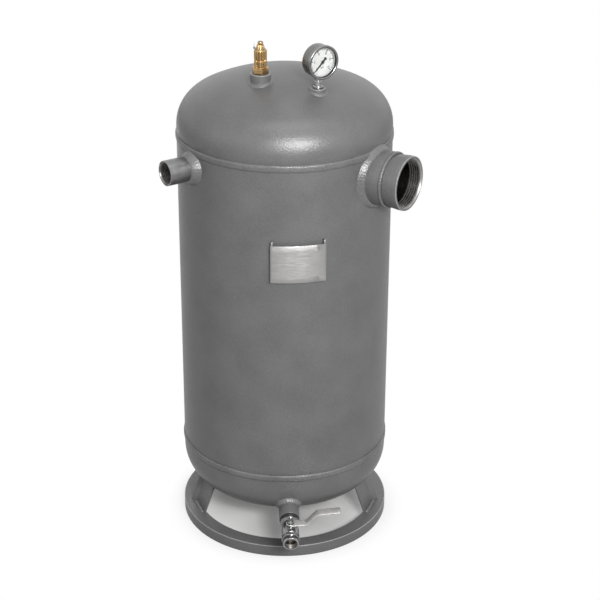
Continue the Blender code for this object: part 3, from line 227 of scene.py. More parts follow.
def spread(vert, share):
    """Moves a point straight out from the Z axis, or in, to a share of its distance."""
    vert.co.x *= share
    vert.co.y *= share


def mesh_of(name, bm):
    """A mesh made from bm, which is freed."""
    mesh = bpy.data.meshes.new(name)
    bm.to_mesh(mesh)
    bm.free()
    return mesh


def joined(*shapes):
    """One bmesh that holds several shapes."""
    whole = bmesh.new()
    for shape in shapes:
        mesh = mesh_of("shape", shape)
        whole.from_mesh(mesh)
        bpy.data.meshes.remove(mesh)
    return whole


def placed(bm, matrix):
    bmesh.ops.transform(bm, matrix=matrix, verts=bm.verts)
    return bm


# %% [markdown]
# ## From shape to piece
# A piece's object stays at the origin and its place goes into its mesh, so a pattern on Object coordinates is the
# same size everywhere. Each piece names the imported nodes that it stands for and the body that it moves with.

# %% Pieces and cuts
CREASE = 32


def added(name, data):
    """An object that holds data, linked to the scene."""
    made = bpy.data.objects.new(name, data)
    bpy.context.scene.collection.objects.link(made)
    return made


def piece(name, bm, finish, nodes=(), body="receiver", where=None, crease=CREASE):
    if where is not None:
        placed(bm, where)
    mesh = mesh_of(name, bm)
    mesh.shade_smooth()
    mesh.set_sharp_from_angle(angle=radians(crease))
    made = added(name, mesh)
    mesh.materials.append(finish)
    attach(made, body)
    if nodes:
        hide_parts(*nodes)
    print(f"{name}: {len(mesh.polygons)} faces on {body}")
    return made


def cut(made, *shapes):
    """Cuts shapes, already in place, out of a piece."""
    for shape in shapes:
        cutter = added("cutter", mesh_of("cutter", shape))
        step = made.modifiers.new("cut", "BOOLEAN")
        step.operation = "DIFFERENCE"
        step.solver = "EXACT"
        step.object = cutter
        graph = bpy.context.evaluated_depsgraph_get()
        result = bpy.data.meshes.new_from_object(made.evaluated_get(graph))
        made.modifiers.clear()
        made.data = result
        bpy.data.objects.remove(cutter)
    made.data.set_sharp_from_angle(angle=radians(CREASE))


def recoat(made, finish, where, test):
    """Gives a second finish to the faces whose (radius, height) in their own place passes the test."""
    made.data.materials.append(finish)
    back = where.inverted()
    chosen = 0
    for face in made.data.polygons:
        at = back @ face.center
        if test(hypot(at.x, at.y), at.z):
            face.material_index = len(made.data.materials) - 1
            chosen += 1
    print(f"{made.name}: {chosen} faces in {finish.name}")


# %% [markdown]
# ## Finishes
# A colour is written as the hex value a paint card would give and turned to linear light, because the shader adds
# light and not hex values. One small function adds a node, and each finish is then a short list of them.

# %% Colour and nodes


def linear(hex_colour):
    def channel(pair):
        value = int(pair, 16) / 255
        return value / 12.92 if value <= 0.04045 else ((value + 0.055) / 1.055) ** 2.4

    return (*(channel(hex_colour[i : i + 2]) for i in (1, 3, 5)), 1.0)


def node(tree, kind, settings=None, **sockets):
    """Adds a node. A socket is given a value, or another node's output to link to."""
    made = tree.nodes.new(kind)
    for name, value in (settings or {}).items():
        setattr(made, name, value)
    for name, value in sockets.items():
        key = int(name[1:]) if name[0] == "_" and name[1:].isdigit() else name.replace("_", " ")
        if isinstance(value, bpy.types.NodeSocket):
            tree.links.new(value, made.inputs[key])
        else:
            made.inputs[key].default_value = value
    return made


def finish_of(name, **shader_values):
    """A material with a Principled shader and Object coordinates to hang patterns on."""
    made = bpy.data.materials.new(name)
    made.use_nodes = True
    tree = made.node_tree
    shader = tree.nodes["Principled BSDF"]
    for socket, value in shader_values.items():
        shader.inputs[socket.replace("_", " ")].default_value = value
    spot = node(tree, "ShaderNodeTexCoord").outputs["Object"]
    return made, tree, shader, spot


def stretched(tree, spot, scale):
    return node(tree, "ShaderNodeMapping", Vector=spot, Scale=scale).outputs["Vector"]


def reckoned(tree, operation, first, second):
    return node(tree, "ShaderNodeMath", {"operation": operation}, _0=first, _1=second).outputs[0]


def noise_of(tree, spot, size, detail=3.0, roughness=0.5):
    """Noise whose blotches are about size metres across."""
    return node(
        tree, "ShaderNodeTexNoise", Vector=spot, Scale=1 / size, Detail=detail, Roughness=roughness
    ).outputs["Fac"]


def ranged(tree, value, low, high, start=0.3, end=0.7):
    """Maps the middle of a noise's range to low..high."""
    return node(
        tree, "ShaderNodeMapRange", Value=value, From_Min=start, From_Max=end, To_Min=low, To_Max=high
    ).outputs["Result"]


def blended(tree, factor, first, second):
    mix = node(tree, "ShaderNodeMix", {"data_type": "RGBA"}, Factor=factor)
    for index, colour in ((6, first), (7, second)):
        if isinstance(colour, bpy.types.NodeSocket):
            tree.links.new(colour, mix.inputs[index])
        else:
            mix.inputs[index].default_value = colour
    return mix.outputs[2]


def bumped(tree, shader, height, depth, strength=1.0, onto=None):
    """Adds relief of depth metres, on top of an earlier bump if there is one."""
    values = {"Height": height, "Distance": depth, "Strength": strength}
    if onto is not None:
        values["Normal"] = onto
    normal = node(tree, "ShaderNodeBump", **values).outputs["Normal"]
    tree.links.new(normal, shader.inputs["Normal"])
    return normal


# %% [markdown]
# ### Sprayed enamel
# The tank is sprayed with one coat of grey alkyd enamel over shot-blasted steel. It dries semi-gloss, with a fine
# pebbled skin of about three millimetres, and the blasted plate under it shows as slow, faint waves.

# %% Grey enamel


def enamel(name, colour, darker, roughness=0.34, lumps=0.3 * MM, lump_size=34 * MM):
    made, tree, shader, spot = finish_of(name, Roughness=roughness, IOR=1.58)
    cloud = noise_of(tree, spot, 70 * MM, 4.0)
    fine = noise_of(tree, spot, 3.2 * MM, 3.0, 0.65)
    mottle = reckoned(tree, "ADD", cloud, fine)
    tint = blended(tree, ranged(tree, mottle, 0.0, 1.0, 0.6, 1.4), linear(darker), linear(colour))
    tree.links.new(tint, shader.inputs["Base Color"])
    tree.links.new(
        ranged(tree, cloud, roughness - 0.05, roughness + 0.06, 0.15, 0.85), shader.inputs["Roughness"]
    )
    waves = bumped(tree, shader, noise_of(tree, spot, lump_size, 1.0), lumps, 0.5)
    bumped(tree, shader, fine, 0.7 * MM, 0.8, waves)
    return made


PAINT = enamel("sprayed_grey_enamel", "#6a6a6a", "#555556", 0.32)
WELD_PAINT = enamel("enamel_on_weld_metal", "#767676", "#4e4e4f", 0.3, 0.8 * MM, 5 * MM)
# A lighter enamel, laid on rounded rims as a painted highlight of the line of light that they catch.
PAINTED_EDGE_HIGHLIGHT = enamel("enamel_with_painted_edge_highlight", "#a09f9e", "#7c7b7a", 0.3)

# %% [markdown]
# ### Metals
# Machined and drawn metals get their look from fine parallel marks. A lathe leaves rings, brushing leaves long
# straight scratches, and plating hides both and is left nearly as smooth as glass.

# %% Bare, brushed, plated and cast metals


def metal(name, colour, roughness, spread=0.08, grain=0.8 * MM, relief=0.02 * MM, stretch=(1, 1, 1), shade=0.12):
    """A bare metal: base colour varied by shade, roughness by spread, and marks of size grain along the
    direction in which stretch is small."""
    made, tree, shader, spot = finish_of(name, Metallic=1.0, Roughness=roughness)
    marks = noise_of(tree, stretched(tree, spot, stretch), grain, 2.0, 0.6)
    stains = noise_of(tree, spot, 14 * MM, 3.0)
    base = Vector(linear(colour)[:3])
    dark = (*(base * (1 - shade)), 1.0)
    light = (*(base * (1 + shade / 2)), 1.0)
    tree.links.new(
        blended(tree, ranged(tree, stains, 0.0, 1.0), dark, light), shader.inputs["Base Color"]
    )
    tree.links.new(
        ranged(tree, marks, max(roughness - spread, 0.02), roughness + spread), shader.inputs["Roughness"]
    )
    if relief:
        bumped(tree, shader, marks, relief, 0.5)
    return made


BRASS = metal("turned_brass", "#c4a473", 0.22, stretch=(1, 1, 6), relief=0.015 * MM, shade=0.25)
STAINLESS = metal("brushed_stainless_steel", "#7f7f7f", 0.26, stretch=(0.05, 0.05, 1.5), grain=0.5 * MM)
BRIGHT = metal("polished_stainless_steel", "#8f8f8f", 0.18, relief=0.005 * MM, grain=3 * MM)
NAMEPLATE = metal("brushed_aluminium", "#a5a4a3", 0.36, stretch=(0.04, 0.04, 1.0), grain=0.7 * MM, shade=0.06)
MACHINED = metal("machined_steel", "#8f8f90", 0.34, grain=0.6 * MM, shade=0.2)
TURNED = metal("turned_stainless_steel", "#b2b2b1", 0.24, stretch=(1, 1, 0.1), grain=0.8 * MM, shade=0.15)
# A lighter bare steel, laid on thread crests and mouth rims as a painted highlight where they are bare.
CUT_STEEL_AND_PAINTED_HIGHLIGHT = metal("cut_steel_and_painted_highlight", "#a3a2a0", 0.4, grain=0.8 * MM, shade=0.25)
# A near-black steel that paints the shade inside the pipe, the bores and the tank.
PAINTED_SHADE_INSIDE = metal("painted_shade_inside_steel", "#2c2a28", 0.5, grain=4 * MM, shade=0.4)
# A darker oiled steel. On thread flanks and in the drain valve's bore it is painted shade.
OILED_AND_PAINTED_SHADE = metal("oiled_steel_and_painted_shade", "#787572", 0.3, grain=1.5 * MM, shade=0.4)
CHROME = metal("chrome_plate", "#8b8c8c", 0.14, spread=0.04, relief=0.01 * MM, grain=4 * MM, shade=0.08)
ZINC = metal("zinc_plated_steel", "#cbcac8", 0.42, spread=0.1, grain=2 * MM, shade=0.15)
WIRE = metal("galvanised_wire", "#b0b0ae", 0.35, grain=1 * MM)
SPRING = metal("spring_steel", "#77787c", 0.3, grain=1 * MM)
LEAD = metal("pressed_lead", "#7d7e82", 0.5, relief=0.1 * MM, grain=1.5 * MM)

# Brushing runs round the tank, so light spreads up and down the plate and stays narrow across it.
tree = NAMEPLATE.node_tree
brushed = tree.nodes["Principled BSDF"]
brushed.inputs["Anisotropic"].default_value = 0.6
brushed.inputs["Anisotropic Rotation"].default_value = 0.25
round_tank = node(tree, "ShaderNodeTangent", {"direction_type": "RADIAL", "axis": "Z"}).outputs["Tangent"]
tree.links.new(round_tank, brushed.inputs["Tangent"])

# %% [markdown]
# ### Plastics, dial and glass
# The gasket is moulded nitrile rubber, the seats are PTFE, the dial is stoved white enamel on tinplate, and the
# window is flat float glass.

# %% Everything that isn't bare metal


def plain(name, colour, darker, roughness, grain, relief, **values):
    made, tree, shader, spot = finish_of(name, Roughness=roughness, **values)
    speck = noise_of(tree, spot, grain)
    tint = blended(tree, ranged(tree, speck, 0.0, 1.0), linear(darker), linear(colour))
    tree.links.new(tint, shader.inputs["Base Color"])
    bumped(tree, shader, speck, relief, 0.4)
    return made


RUBBER = plain("moulded_nitrile_rubber", "#1d1d1e", "#151515", 0.6, 0.8 * MM, 0.05 * MM)
PTFE = plain("turned_ptfe", "#efeeea", "#e4e3de", 0.45, 1 * MM, 0.02 * MM)
DIAL = plain("stoved_white_enamel", "#f0f0ee", "#e9e9e6", 0.5, 2 * MM, 0.01 * MM)
# Black lacquer for the pointer. On the bezel's inner lip and the ring behind it, it is painted shade.
LACQUER_AND_PAINTED_SHADE = plain("black_lacquer", "#141415", "#0e0e0f", 0.35, 1 * MM, 0.01 * MM)
PRINT = plain("printing_ink", "#161617", "#101011", 0.6, 1 * MM, 0.005 * MM)
GLASS = plain(
    "float_glass", "#ffffff", "#fbfdfd", 0.02, 30 * MM, 0.001 * MM, IOR=1.45, Transmission_Weight=1.0
)
print("finishes:", len(bpy.data.materials))

# %% [markdown]
# ## The vessel
# Each head is pressed from plate as a shallow crown, a tighter knuckle round its edge and a short straight skirt.
# Its crown radius is 0.93 of the diameter and its knuckle 0.176, which is a common deep form. The section is two
# arcs that meet on one tangent, so there is no crease to smooth over.

# %% Section of a head
crown_r = 1.8575 * shell_r
knuckle_r = 0.352 * shell_r
wall = 3.5 * MM
knuckle_centre = shell_r - knuckle_r
crown_drop = sqrt((crown_r - knuckle_r) ** 2 - knuckle_centre**2)
crown_join = atan2(crown_drop, knuckle_centre)
head_rise = crown_r - crown_drop
top_tangent_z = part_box("top_head")[1].z - head_rise
bottom_tangent_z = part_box("bottom_head")[0].z + head_rise


def head_arc(inset=0.0, crown_steps=26, knuckle_steps=22):
    """(radius, height above the tangent line) from the axis out to the tangent line."""
    crown, knuckle = crown_r - inset, knuckle_r - inset
    points = []
    for k in range(crown_steps):
        angle = pi / 2 + (crown_join - pi / 2) * k / crown_steps
        points.append((crown * cos(angle), crown * sin(angle) - crown_drop))
    for k in range(knuckle_steps + 1):
        angle = crown_join * (1 - k / knuckle_steps)
        points.append((knuckle_centre + knuckle * cos(angle), knuckle * sin(angle)))
    points[0] = (0, crown - crown_drop)
    return points


print("head rises", round(head_rise / MM, 1), "mm above its skirt")

# %% Shell and heads
VESSEL_STEPS = 192
rows = 40
heights = [shell_low.z + (shell_high.z - shell_low.z) * k / rows for k in range(rows + 1)]


def undercut(toe, up, bite=1.0):
    """A narrow groove that the arc melts into the plate along a bead's toe, listed in the direction up."""
    steps = ((-1.7, 0), (-0.9, 1.0), (0.0, 1.0), (0.5, 0))
    return [(shell_r - bite * deep * MM, toe + up * along * MM) for along, deep in steps]


toe_gap = 6.2 * MM
outside = undercut(bottom_seam_z + toe_gap, -1, 0.35)[::-1]
outside += [(shell_r, z) for z in heights[1:-1]]
outside += undercut(top_seam_z - toe_gap, 1) + [(shell_r, shell_high.z)]
outside.insert(0, (shell_r, shell_low.z))
shell_section = outside[::-1] + [(shell_r - wall, z) for z in heights]
shell = piece("shell_plate", turned(shell_section, VESSEL_STEPS), PAINT, ["shell"], where=tank)


def head(name, node_name, tangent, seam, up):
    rim = (seam - tangent) * up + seam_gap / 2
    outside = [(r, tangent + up * h) for r, h in head_arc()]
    inside = [(r, tangent + up * h) for r, h in reversed(head_arc(wall, 12, 8))]
    groove = undercut(seam + up * toe_gap, -up, 0.45 if up > 0 else 1.0)
    section = outside + groove + [(shell_r, tangent + up * rim), (shell_r - wall, tangent + up * rim)] + inside
    bm = turned(section, VESSEL_STEPS, closed=False)
    return piece(name, bm, PAINT, [node_name], where=tank)


head("upper_head", "top_head", top_tangent_z, top_seam_z, 1)
head("lower_head", "bottom_head", bottom_tangent_z, bottom_seam_z, -1)

# %% [markdown]
# ## Laying weld metal on a curved skin
# A fillet round a pipe is a ring on a flat plate, but here the plate is a cylinder or a dome. The ring is made
# flat and then each of its points drops along the pipe's axis until it rests at its own height above the skin.
# A ray cast at one smooth skin of the whole vessel finds how far.

# %% The skin and the fillet
RIPPLE_PITCH = 4.5 * MM
skin_points = [(r, top_tangent_z + h) for r, h in head_arc()]
skin_points += [(r, bottom_tangent_z - h) for r, h in reversed(head_arc())]
skin_bm = placed(turned(skin_points, 360, closed=False), tank)
skin = BVHTree.FromBMesh(skin_bm)
skin_bm.free()


def laid(bm, where, reach):
    """Moves each point along Z to stand on the skin. reach is a height that is clear of it."""
    back = where.inverted()
    down = where.to_3x3() @ Vector((0, 0, -1))
    for vert in bm.verts:
        hit = skin.ray_cast(where @ Vector((vert.co.x, vert.co.y, reach)), down)[0]
        vert.co.z += (back @ hit).z
    return bm


def rippled(bm, depth, inner):
    """Gives weld metal the small overlapping scallops that each dip of the rod leaves."""
    count = round(2 * pi * inner / RIPPLE_PITCH)
    for vert in bm.verts:
        radius, angle = polar(vert.co)
        phase = (angle * count / (2 * pi) + 0.35 * sin(angle * 5 + 1.0)) % 1
        lift = depth * (sqrt(max(1 - (2 * phase - 1) ** 2, 0)) - 0.6)
        if radius > inner + 0.2 * depth:
            spread(vert, 1 + lift / radius)
            vert.co.z += lift * 0.6
    return bm


def fillet(name, node_name, where, pipe_r, leg, height, reach, steps=240, depth=0.25 * MM):
    """A fillet weld: a slightly crowned slope from the pipe down to the plate, its toe run into the plate."""
    slope = [(pipe_r + leg * t, height * (1 - t) + 0.14 * leg * sin(pi * t)) for t in (0, 0.25, 0.5, 0.75, 1)]
    section = slope + [(pipe_r + leg * 1.05, -0.8 * MM), (pipe_r - MM, -0.8 * MM), (pipe_r - MM, height)]
    bm = rippled(lathe(section, 0.8 * MM, steps, rounding=2), depth, pipe_r)
    return piece(name, laid(bm, where, reach), WELD_PAINT, [node_name], where=where, crease=50)


# %% [markdown]
# ## Girth seams
# The heads are joined to the shell by a submerged-arc weld. It leaves a low flat band with a fine chevron pattern
# that only shows where light skims it.

# %% Girth and long seams
CHEVRON_PITCH = 5 * MM


def seam_bead(name, node_name, height, width=12 * MM, crown=2 * MM):
    half = width / 2
    arch = [(shell_r - 0.4 * MM, height + half)]
    for k in range(9):
        angle = pi * k / 8
        arch.append((shell_r + crown * sin(angle) ** 0.6, height + half * cos(angle)))
    arch.append((shell_r - 0.4 * MM, height - half))
    bm = turned(arch, 720)
    for vert in bm.verts:
        radius, angle = polar(vert.co)
        if radius > shell_r + 0.3 * crown:
            across = (vert.co.z - height) / half
            chevron = sin(angle * shell_r * 2 * pi / CHEVRON_PITCH + 2.4 * across * across)
            lift = 0.12 * MM * chevron + 0.2 * MM * sin(angle * 23) * sin(angle * 7 + 2)
            spread(vert, 1 + lift / radius)
        vert.co.z += 0.35 * MM * sin(angle * 11 + 0.7) + 0.25 * MM * sin(angle * 37)
    piece(name, bm, WELD_PAINT, [node_name], where=tank, crease=60)


seam_bead("upper_seam_bead", "top_girth_weld", top_seam_z)
seam_bead("lower_seam_bead", "bottom_girth_weld", bottom_seam_z)

long_low, long_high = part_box("long_seam_weld")
strip = bmesh.new()
bmesh.ops.create_grid(strip, x_segments=6, y_segments=400, size=1)
long_half = (long_high.x - long_low.x) / 2
long_length = long_high.z - long_low.z
for vert in strip.verts:
    across, along = vert.co.x, vert.co.y * long_length / 2
    chevron = sin(along * 2 * pi / CHEVRON_PITCH + 2 * across * across)
    rise = 1.3 * MM * (1 - across * across) + 0.12 * MM * chevron
    x = across * (long_half + 0.4 * MM * sin(along * 90))
    y = sqrt(shell_r**2 - x * x) + rise * (1 - across**8) - 0.2 * MM
    vert.co = Vector((x, y, (long_low.z + long_high.z) / 2 + along))
bmesh.ops.recalc_face_normals(strip, faces=strip.faces)
bmesh.ops.solidify(strip, geom=strip.faces, thickness=0.6 * MM)
piece("long_seam_bead", strip, WELD_PAINT, ["long_seam_weld"], where=tank, crease=60)

# %% [markdown]
# ## Pipe threads
# A pipe thread is a helix of 2.3 mm pitch, too fine for its lead to be seen. It is drawn as plain rings in the
# socket's half section, at twice the real pitch in the large socket, so the crests still show from a few metres.

# %% Thread rows
THREAD_PITCH = 4.6 * MM
THREAD_DEPTH = 2.0 * MM


def thread(crest, start, length, pitch=THREAD_PITCH, depth=THREAD_DEPTH):
    """Points of an internal thread, from height start downwards."""
    points = []
    for k in range(int(length / pitch)):
        z = start - k * pitch
        points += [(crest + depth, z), (crest, z - 0.32 * pitch), (crest, z - 0.68 * pitch)]
    return points + [(crest + depth, start - int(length / pitch) * pitch)]


def socket_line(mount):
    """The place where a socket's axis starts, on the tank's own and level with its mount, and how far out its
    mouth is."""
    at, out = Vector(mount["pos_m"]), Vector(mount["axis"])
    mouth = axis_foot + out * (at - axis_foot).dot(out) + UP * at.z
    return place(axis_foot + UP * mouth.z, out), (mouth - axis_foot).dot(out)


# %% [markdown]
# ## The large socket
# A short length of pipe is welded through the shell and a threaded half coupling is butt-welded to its end. The
# pipe sits so high that its fillet crosses the top girth seam.

# %% Pipe, fillet, coupling weld and coupling
ROOT_R = shell_r - 12 * MM
inlet, inlet_reach = socket_line(mounts["inlet_face"])
pipe_r = 50.8 * MM
coupling_r = 50.15 * MM
coupling_rear = inlet_reach - 32.8 * MM
pipe_bore = pipe_r - 5.5 * MM

pipe_bm = tube(pipe_r, pipe_bore, ROOT_R, coupling_rear - 0.5 * MM, steps=128)
inlet_pipe = piece("inlet_pipe", pipe_bm, PAINT, ["inlet_stub"], where=inlet)
# The pipe's bore is near black as painted shade.
recoat(inlet_pipe, PAINTED_SHADE_INSIDE, inlet, lambda r, z: r < pipe_bore + MM)
fillet("inlet_fillet", "inlet_fillet_weld", inlet, pipe_r, 8 * MM, 9.5 * MM, inlet_reach, depth=0.3 * MM)
cut(shell, placed(bar(pipe_r - 0.5 * MM, shell_r / 2, inlet_reach, steps=128), inlet))

bead_section = mm([(-2, 2.2), (0.9, 1.2), (1.5, -1.5), (0.9, -4), (-2, -5)], coupling_rear, pipe_r)
bead_bm = rippled(lathe(bead_section, 1.2 * MM, 360), 0.25 * MM, pipe_r)
piece("inlet_coupling_bead", bead_bm, WELD_PAINT, ["inlet_socket_weld"], where=inlet, crease=50)

thread_crest = 42.3 * MM
lip = [(coupling_r, inlet_reach - 11 * MM), (coupling_r, inlet_reach), (thread_crest + 4 * MM, inlet_reach)]
coupling = [(coupling_r - 2.4 * MM, coupling_rear), *softened(lip, 1.4 * MM, closed=False)]
coupling += thread(thread_crest, inlet_reach - 2.6 * MM, 27 * MM) + [(thread_crest + 2 * MM, coupling_rear)]
coupling_bm = turned(coupling, 160)
inlet_coupling = piece("inlet_coupling", coupling_bm, PAINT, ["inlet_socket"], where=inlet, crease=25)


def cut_thread(made, where, crest, face, depth):
    """Oiled steel thread, with painted shade on its flanks and a painted highlight of cut steel on its crests."""
    # Thread flanks are darker oiled steel as painted shade, and the crests lighter cut steel as a painted highlight.
    recoat(made, OILED_AND_PAINTED_SHADE, where, lambda r, z: r < crest + depth + 0.3 * MM and z < face - 1.2 * MM)
    recoat(made, CUT_STEEL_AND_PAINTED_HIGHLIGHT, where, lambda r, z: r < crest + 0.2 * MM and z < face - 1.2 * MM)


cut_thread(inlet_coupling, inlet, thread_crest, inlet_reach, THREAD_DEPTH)
# The mouth was faced after painting, so its chamfer is bare steel, lightened as a painted highlight. A lighter enamel
# round its outer edge is a painted highlight too.
recoat(inlet_coupling, CUT_STEEL_AND_PAINTED_HIGHLIGHT, inlet, lambda r, z: z > inlet_reach - 2.2 * MM and r < thread_crest + 4.6 * MM)
recoat(inlet_coupling, PAINTED_EDGE_HIGHLIGHT, inlet, lambda r, z: z > inlet_reach - 1.3 * MM and r > coupling_r - 1.5 * MM)
# The inside of the shell is near black as painted shade.
recoat(shell, PAINTED_SHADE_INSIDE, tank, lambda r, z: r < shell_r - 0.8 * wall)

# %% [markdown]
# ## The small socket
# This one is a bare machined coupling, welded straight to the shell and left unpainted.

# %% Small socket and its fillet
outlet, outlet_reach = socket_line(mounts["outlet_face"])
socket_r = 23.2 * MM
socket_crest = 19.4 * MM
section = [(socket_r, outlet_reach), (socket_r, ROOT_R), (socket_crest + MM, ROOT_R)]
section = softened(section, 1.0 * MM, closed=False)
section += reversed(thread(socket_crest, outlet_reach - 2 * MM, 26 * MM, 3 * MM, 1.4 * MM))
section += [(socket_crest + 1.9 * MM, outlet_reach)]
socket_bm = turned(section, 128)
outlet_coupling = piece(
    "outlet_coupling", socket_bm, MACHINED, ["outlet_socket"], where=outlet, crease=25
)
cut_thread(outlet_coupling, outlet, socket_crest, outlet_reach, THREAD_DEPTH)
# The mouth's end face is bare steel, lightened as a painted highlight.
recoat(outlet_coupling, CUT_STEEL_AND_PAINTED_HIGHLIGHT, outlet, lambda r, z: z > outlet_reach - 1.0 * MM)
fillet("outlet_fillet", "outlet_fillet_weld", outlet, socket_r, 9 * MM, 15 * MM, outlet_reach)
cut(shell, placed(bar(socket_r - 0.5 * MM, shell_r / 2, outlet_reach, steps=96), outlet))

# %% [markdown]
# ## Bosses and drain socket
# Threaded bosses are welded through the top head for the safety valve and the gauge, and a longer one through the
# knuckle of the bottom head for the drain.

# %% Bosses


def boss(name, node_name, outer, bore, weld_leg, weld_rise):
    low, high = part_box(node_name)
    where = place(Vector(((low.x + high.x) / 2, (low.y + high.y) / 2, high.z)), UP, BACK)
    made = piece(name, tube(outer, bore, low.z - high.z, 0, 1.3 * MM), PAINT, [node_name], where=where)
    # A lighter enamel round the top rim is a painted highlight, and the bore is near black as painted shade.
    recoat(made, PAINTED_EDGE_HIGHLIGHT, where, lambda r, z: z > -1.0 * MM and r > outer - 1.1 * MM)
    recoat(made, PAINTED_SHADE_INSIDE, where, lambda r, z: r < bore + 0.5 * MM)
    fillet(name + "_fillet", node_name + "_weld", where, outer, weld_leg, weld_rise, 20 * MM, 144)
    return where


valve_seat = boss("valve_boss", "safety_boss", 18.9 * MM, 10.6 * MM, 4.6 * MM, 4.2 * MM)
gauge_seat = boss("dial_boss", "gauge_boss", 14.2 * MM, 8.6 * MM, 3.8 * MM, 3.6 * MM)

drain_joint = joints["drain_lever_turn"]
drain_mount = mounts["drain_mouth"]
ball_centre = Vector(drain_joint["pos_m"])
flow_out = Vector(drain_mount["axis"])
stem_up = Vector(drain_joint["axis"])
drain = place(ball_centre, flow_out, stem_up)
drain_mouth = (Vector(drain_mount["pos_m"]) - ball_centre).dot(flow_out)
drain_face = drain_mouth - 65 * MM
drain_r = 19.5 * MM
drain_bm = tube(drain_r, 13.2 * MM, drain_face - 58 * MM, drain_face, 0.8 * MM)
piece("drain_coupling", drain_bm, PAINT, ["drain_socket"], where=drain)
fillet("drain_fillet", "drain_socket_weld", drain, drain_r, 6 * MM, 7 * MM, drain_face, 160, 0.4 * MM)

# %% [markdown]
# ## Base ring and legs
# The ring is equal-leg angle iron rolled with one leg flat on top. Rolling leaves a small radius on the heel, which
# catches a thin line of light all the way round, and a lighter enamel on that radius is a painted highlight of it.
# Three folded plates lean in from it to the bottom head.

# %% Base ring
ring_low, ring_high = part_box("base_ring")
ring_r = (ring_high.x - ring_low.x) / 2
ring_top = ring_high.z
ring_wall = 3.2 * MM
ring_inner = ring_r - 29 * MM
angle_iron = [(ring_r, ring_top), (ring_r, 0), (ring_r - ring_wall, 0), (ring_r - ring_wall, ring_top - ring_wall)]
angle_iron += [(ring_inner, ring_top - ring_wall), (ring_inner, ring_top)]
angle_bm = lathe(angle_iron, 1.3 * MM, 256, rounding=4)
angle_ring = piece("angle_ring", angle_bm, PAINT, ["base_ring"], where=tank)
# A lighter enamel on the rounded heel is a painted highlight.
recoat(angle_ring, PAINTED_EDGE_HIGHLIGHT, tank, lambda r, z: r > ring_r - 1.25 * MM and z > ring_top - 1.25 * MM)

# %% [markdown]
# Each leg starts as the outline of its folded section, is pulled up along its lean, and its top points then run on
# to the head's skin, so its top edge follows the curve that the plate would be cut to.

# %% Legs
LEG_LEAN = 20.0
LEG_SETBACK = 23 * MM
LEG_WIDTH = 50 * MM
LEG_PLATE = 4 * MM
LEG_LIP = 12 * MM
LEG_FOLD = 35.0
legs = {"left": (-70.0, 1), "right": (70.0, -1), "rear": (180.0, 1)}


def bead_line(points, radius, steps=10):
    """Weld metal along a line of points: a ring pulled from point to point."""
    bm = bmesh.new()
    rings = []
    for i, point in enumerate(points):
        ahead = (points[min(i + 1, len(points) - 1)] - points[max(i - 1, 0)]).normalized()
        side = ahead.cross(UP).normalized()
        at = Matrix.Translation(point) @ Matrix((side, side.cross(ahead), ahead)).transposed().to_4x4()
        end = i in (0, len(points) - 1)
        size = radius * (0.45 if end else 1 + 0.09 * sin(i * 2.2))
        ring = bmesh.ops.create_circle(bm, cap_ends=end, segments=steps, radius=size, matrix=at)["verts"]
        rings.append(list({e: None for v in ring for e in v.link_edges}))
    for low, high in zip(rings, rings[1:]):
        bmesh.ops.bridge_loops(bm, edges=low + high)
    bmesh.ops.recalc_face_normals(bm, faces=bm.faces)
    return bm


def leg(side, azimuth, lip_side):
    out = outward(azimuth)
    lean = radians(LEG_LEAN)
    foot = axis_foot + out * (ring_r - LEG_SETBACK) + UP * ring_top
    where = place(foot, UP * cos(lean) - out * sin(lean), out)
    half, fold = LEG_WIDTH / 2, radians(LEG_FOLD)
    web = [(-half + LEG_WIDTH * k / 10, 0) for k in range(11)]
    lip = [(half + LEG_LIP * t * cos(fold), LEG_LIP * t * sin(fold)) for t in (0.12, 0.5, 1)]
    run = [Vector((x * lip_side, y, 0)) for x, y in web[:-1] + [(half - 0.6 * MM, 0)] + lip]
    bm = bmesh.new()
    verts = [bm.verts.new(p) for p in run]
    edges = [bm.edges.new(pair) for pair in zip(verts, verts[1:])]
    tops = verts_of(bmesh.ops.extrude_edge_only(bm, edges=edges)["geom"])
    bmesh.ops.translate(bm, verts=tops, vec=(0, 0, 40 * MM))
    placed(thickened(bm, BACK, LEG_PLATE), where)
    up_leg = where.to_3x3() @ UP
    seam = []
    for vert in bm.verts:
        height = (where.inverted() @ vert.co).z
        if height > 20 * MM:
            hit = skin.ray_cast(vert.co - up_leg * 10 * MM, up_leg)[0]
            vert.co = hit + up_leg * MM
            local = where.inverted() @ vert.co
            if local.y > -0.5 * LEG_PLATE + max(0.0, (abs(local.x) - half)) * tan(fold):
                seam.append((local.x, vert.co.copy()))
        else:
            vert.co -= up_leg * ((vert.co.z - ring_top) / up_leg.z)
    broken(bm, 0.5 * MM, SHARP)
    piece(f"leg_plate_{side}", bm, PAINT, [f"leg_{side}"], crease=40)
    across = where.to_3x3() @ Vector((1, 0, 0))
    toe = [
        foot + across * (x / 40 * 44 * MM) + out * MM + UP * 0.6 * MM + out * 0.4 * MM * sin(x * 1.9)
        for x in range(-20, 21)
    ]
    top = [p for _, p in sorted(seam, key=lambda pair: pair[0])]
    top = [a.lerp(b, t) for a, b in zip(top, top[1:]) for t in (0, 0.34, 0.67)]
    shapes = [bead_line(toe, 3.4 * MM), bead_line([p - up_leg * 0.5 * MM for p in top], 2.8 * MM)]
    piece(f"leg_beads_{side}", joined(*shapes), WELD_PAINT, [f"leg_{side}_weld"], crease=60)


for leg_side, (leg_azimuth, leg_lip) in legs.items():
    leg(leg_side, leg_azimuth, leg_lip)

# %% [markdown]
# ## Nameplate
# A blank aluminium plate lies on a painted steel bracket that stands it clear of the hot shell. Both are bent to
# the tank's curve, so each starts flat as a grid and is rolled round the axis.

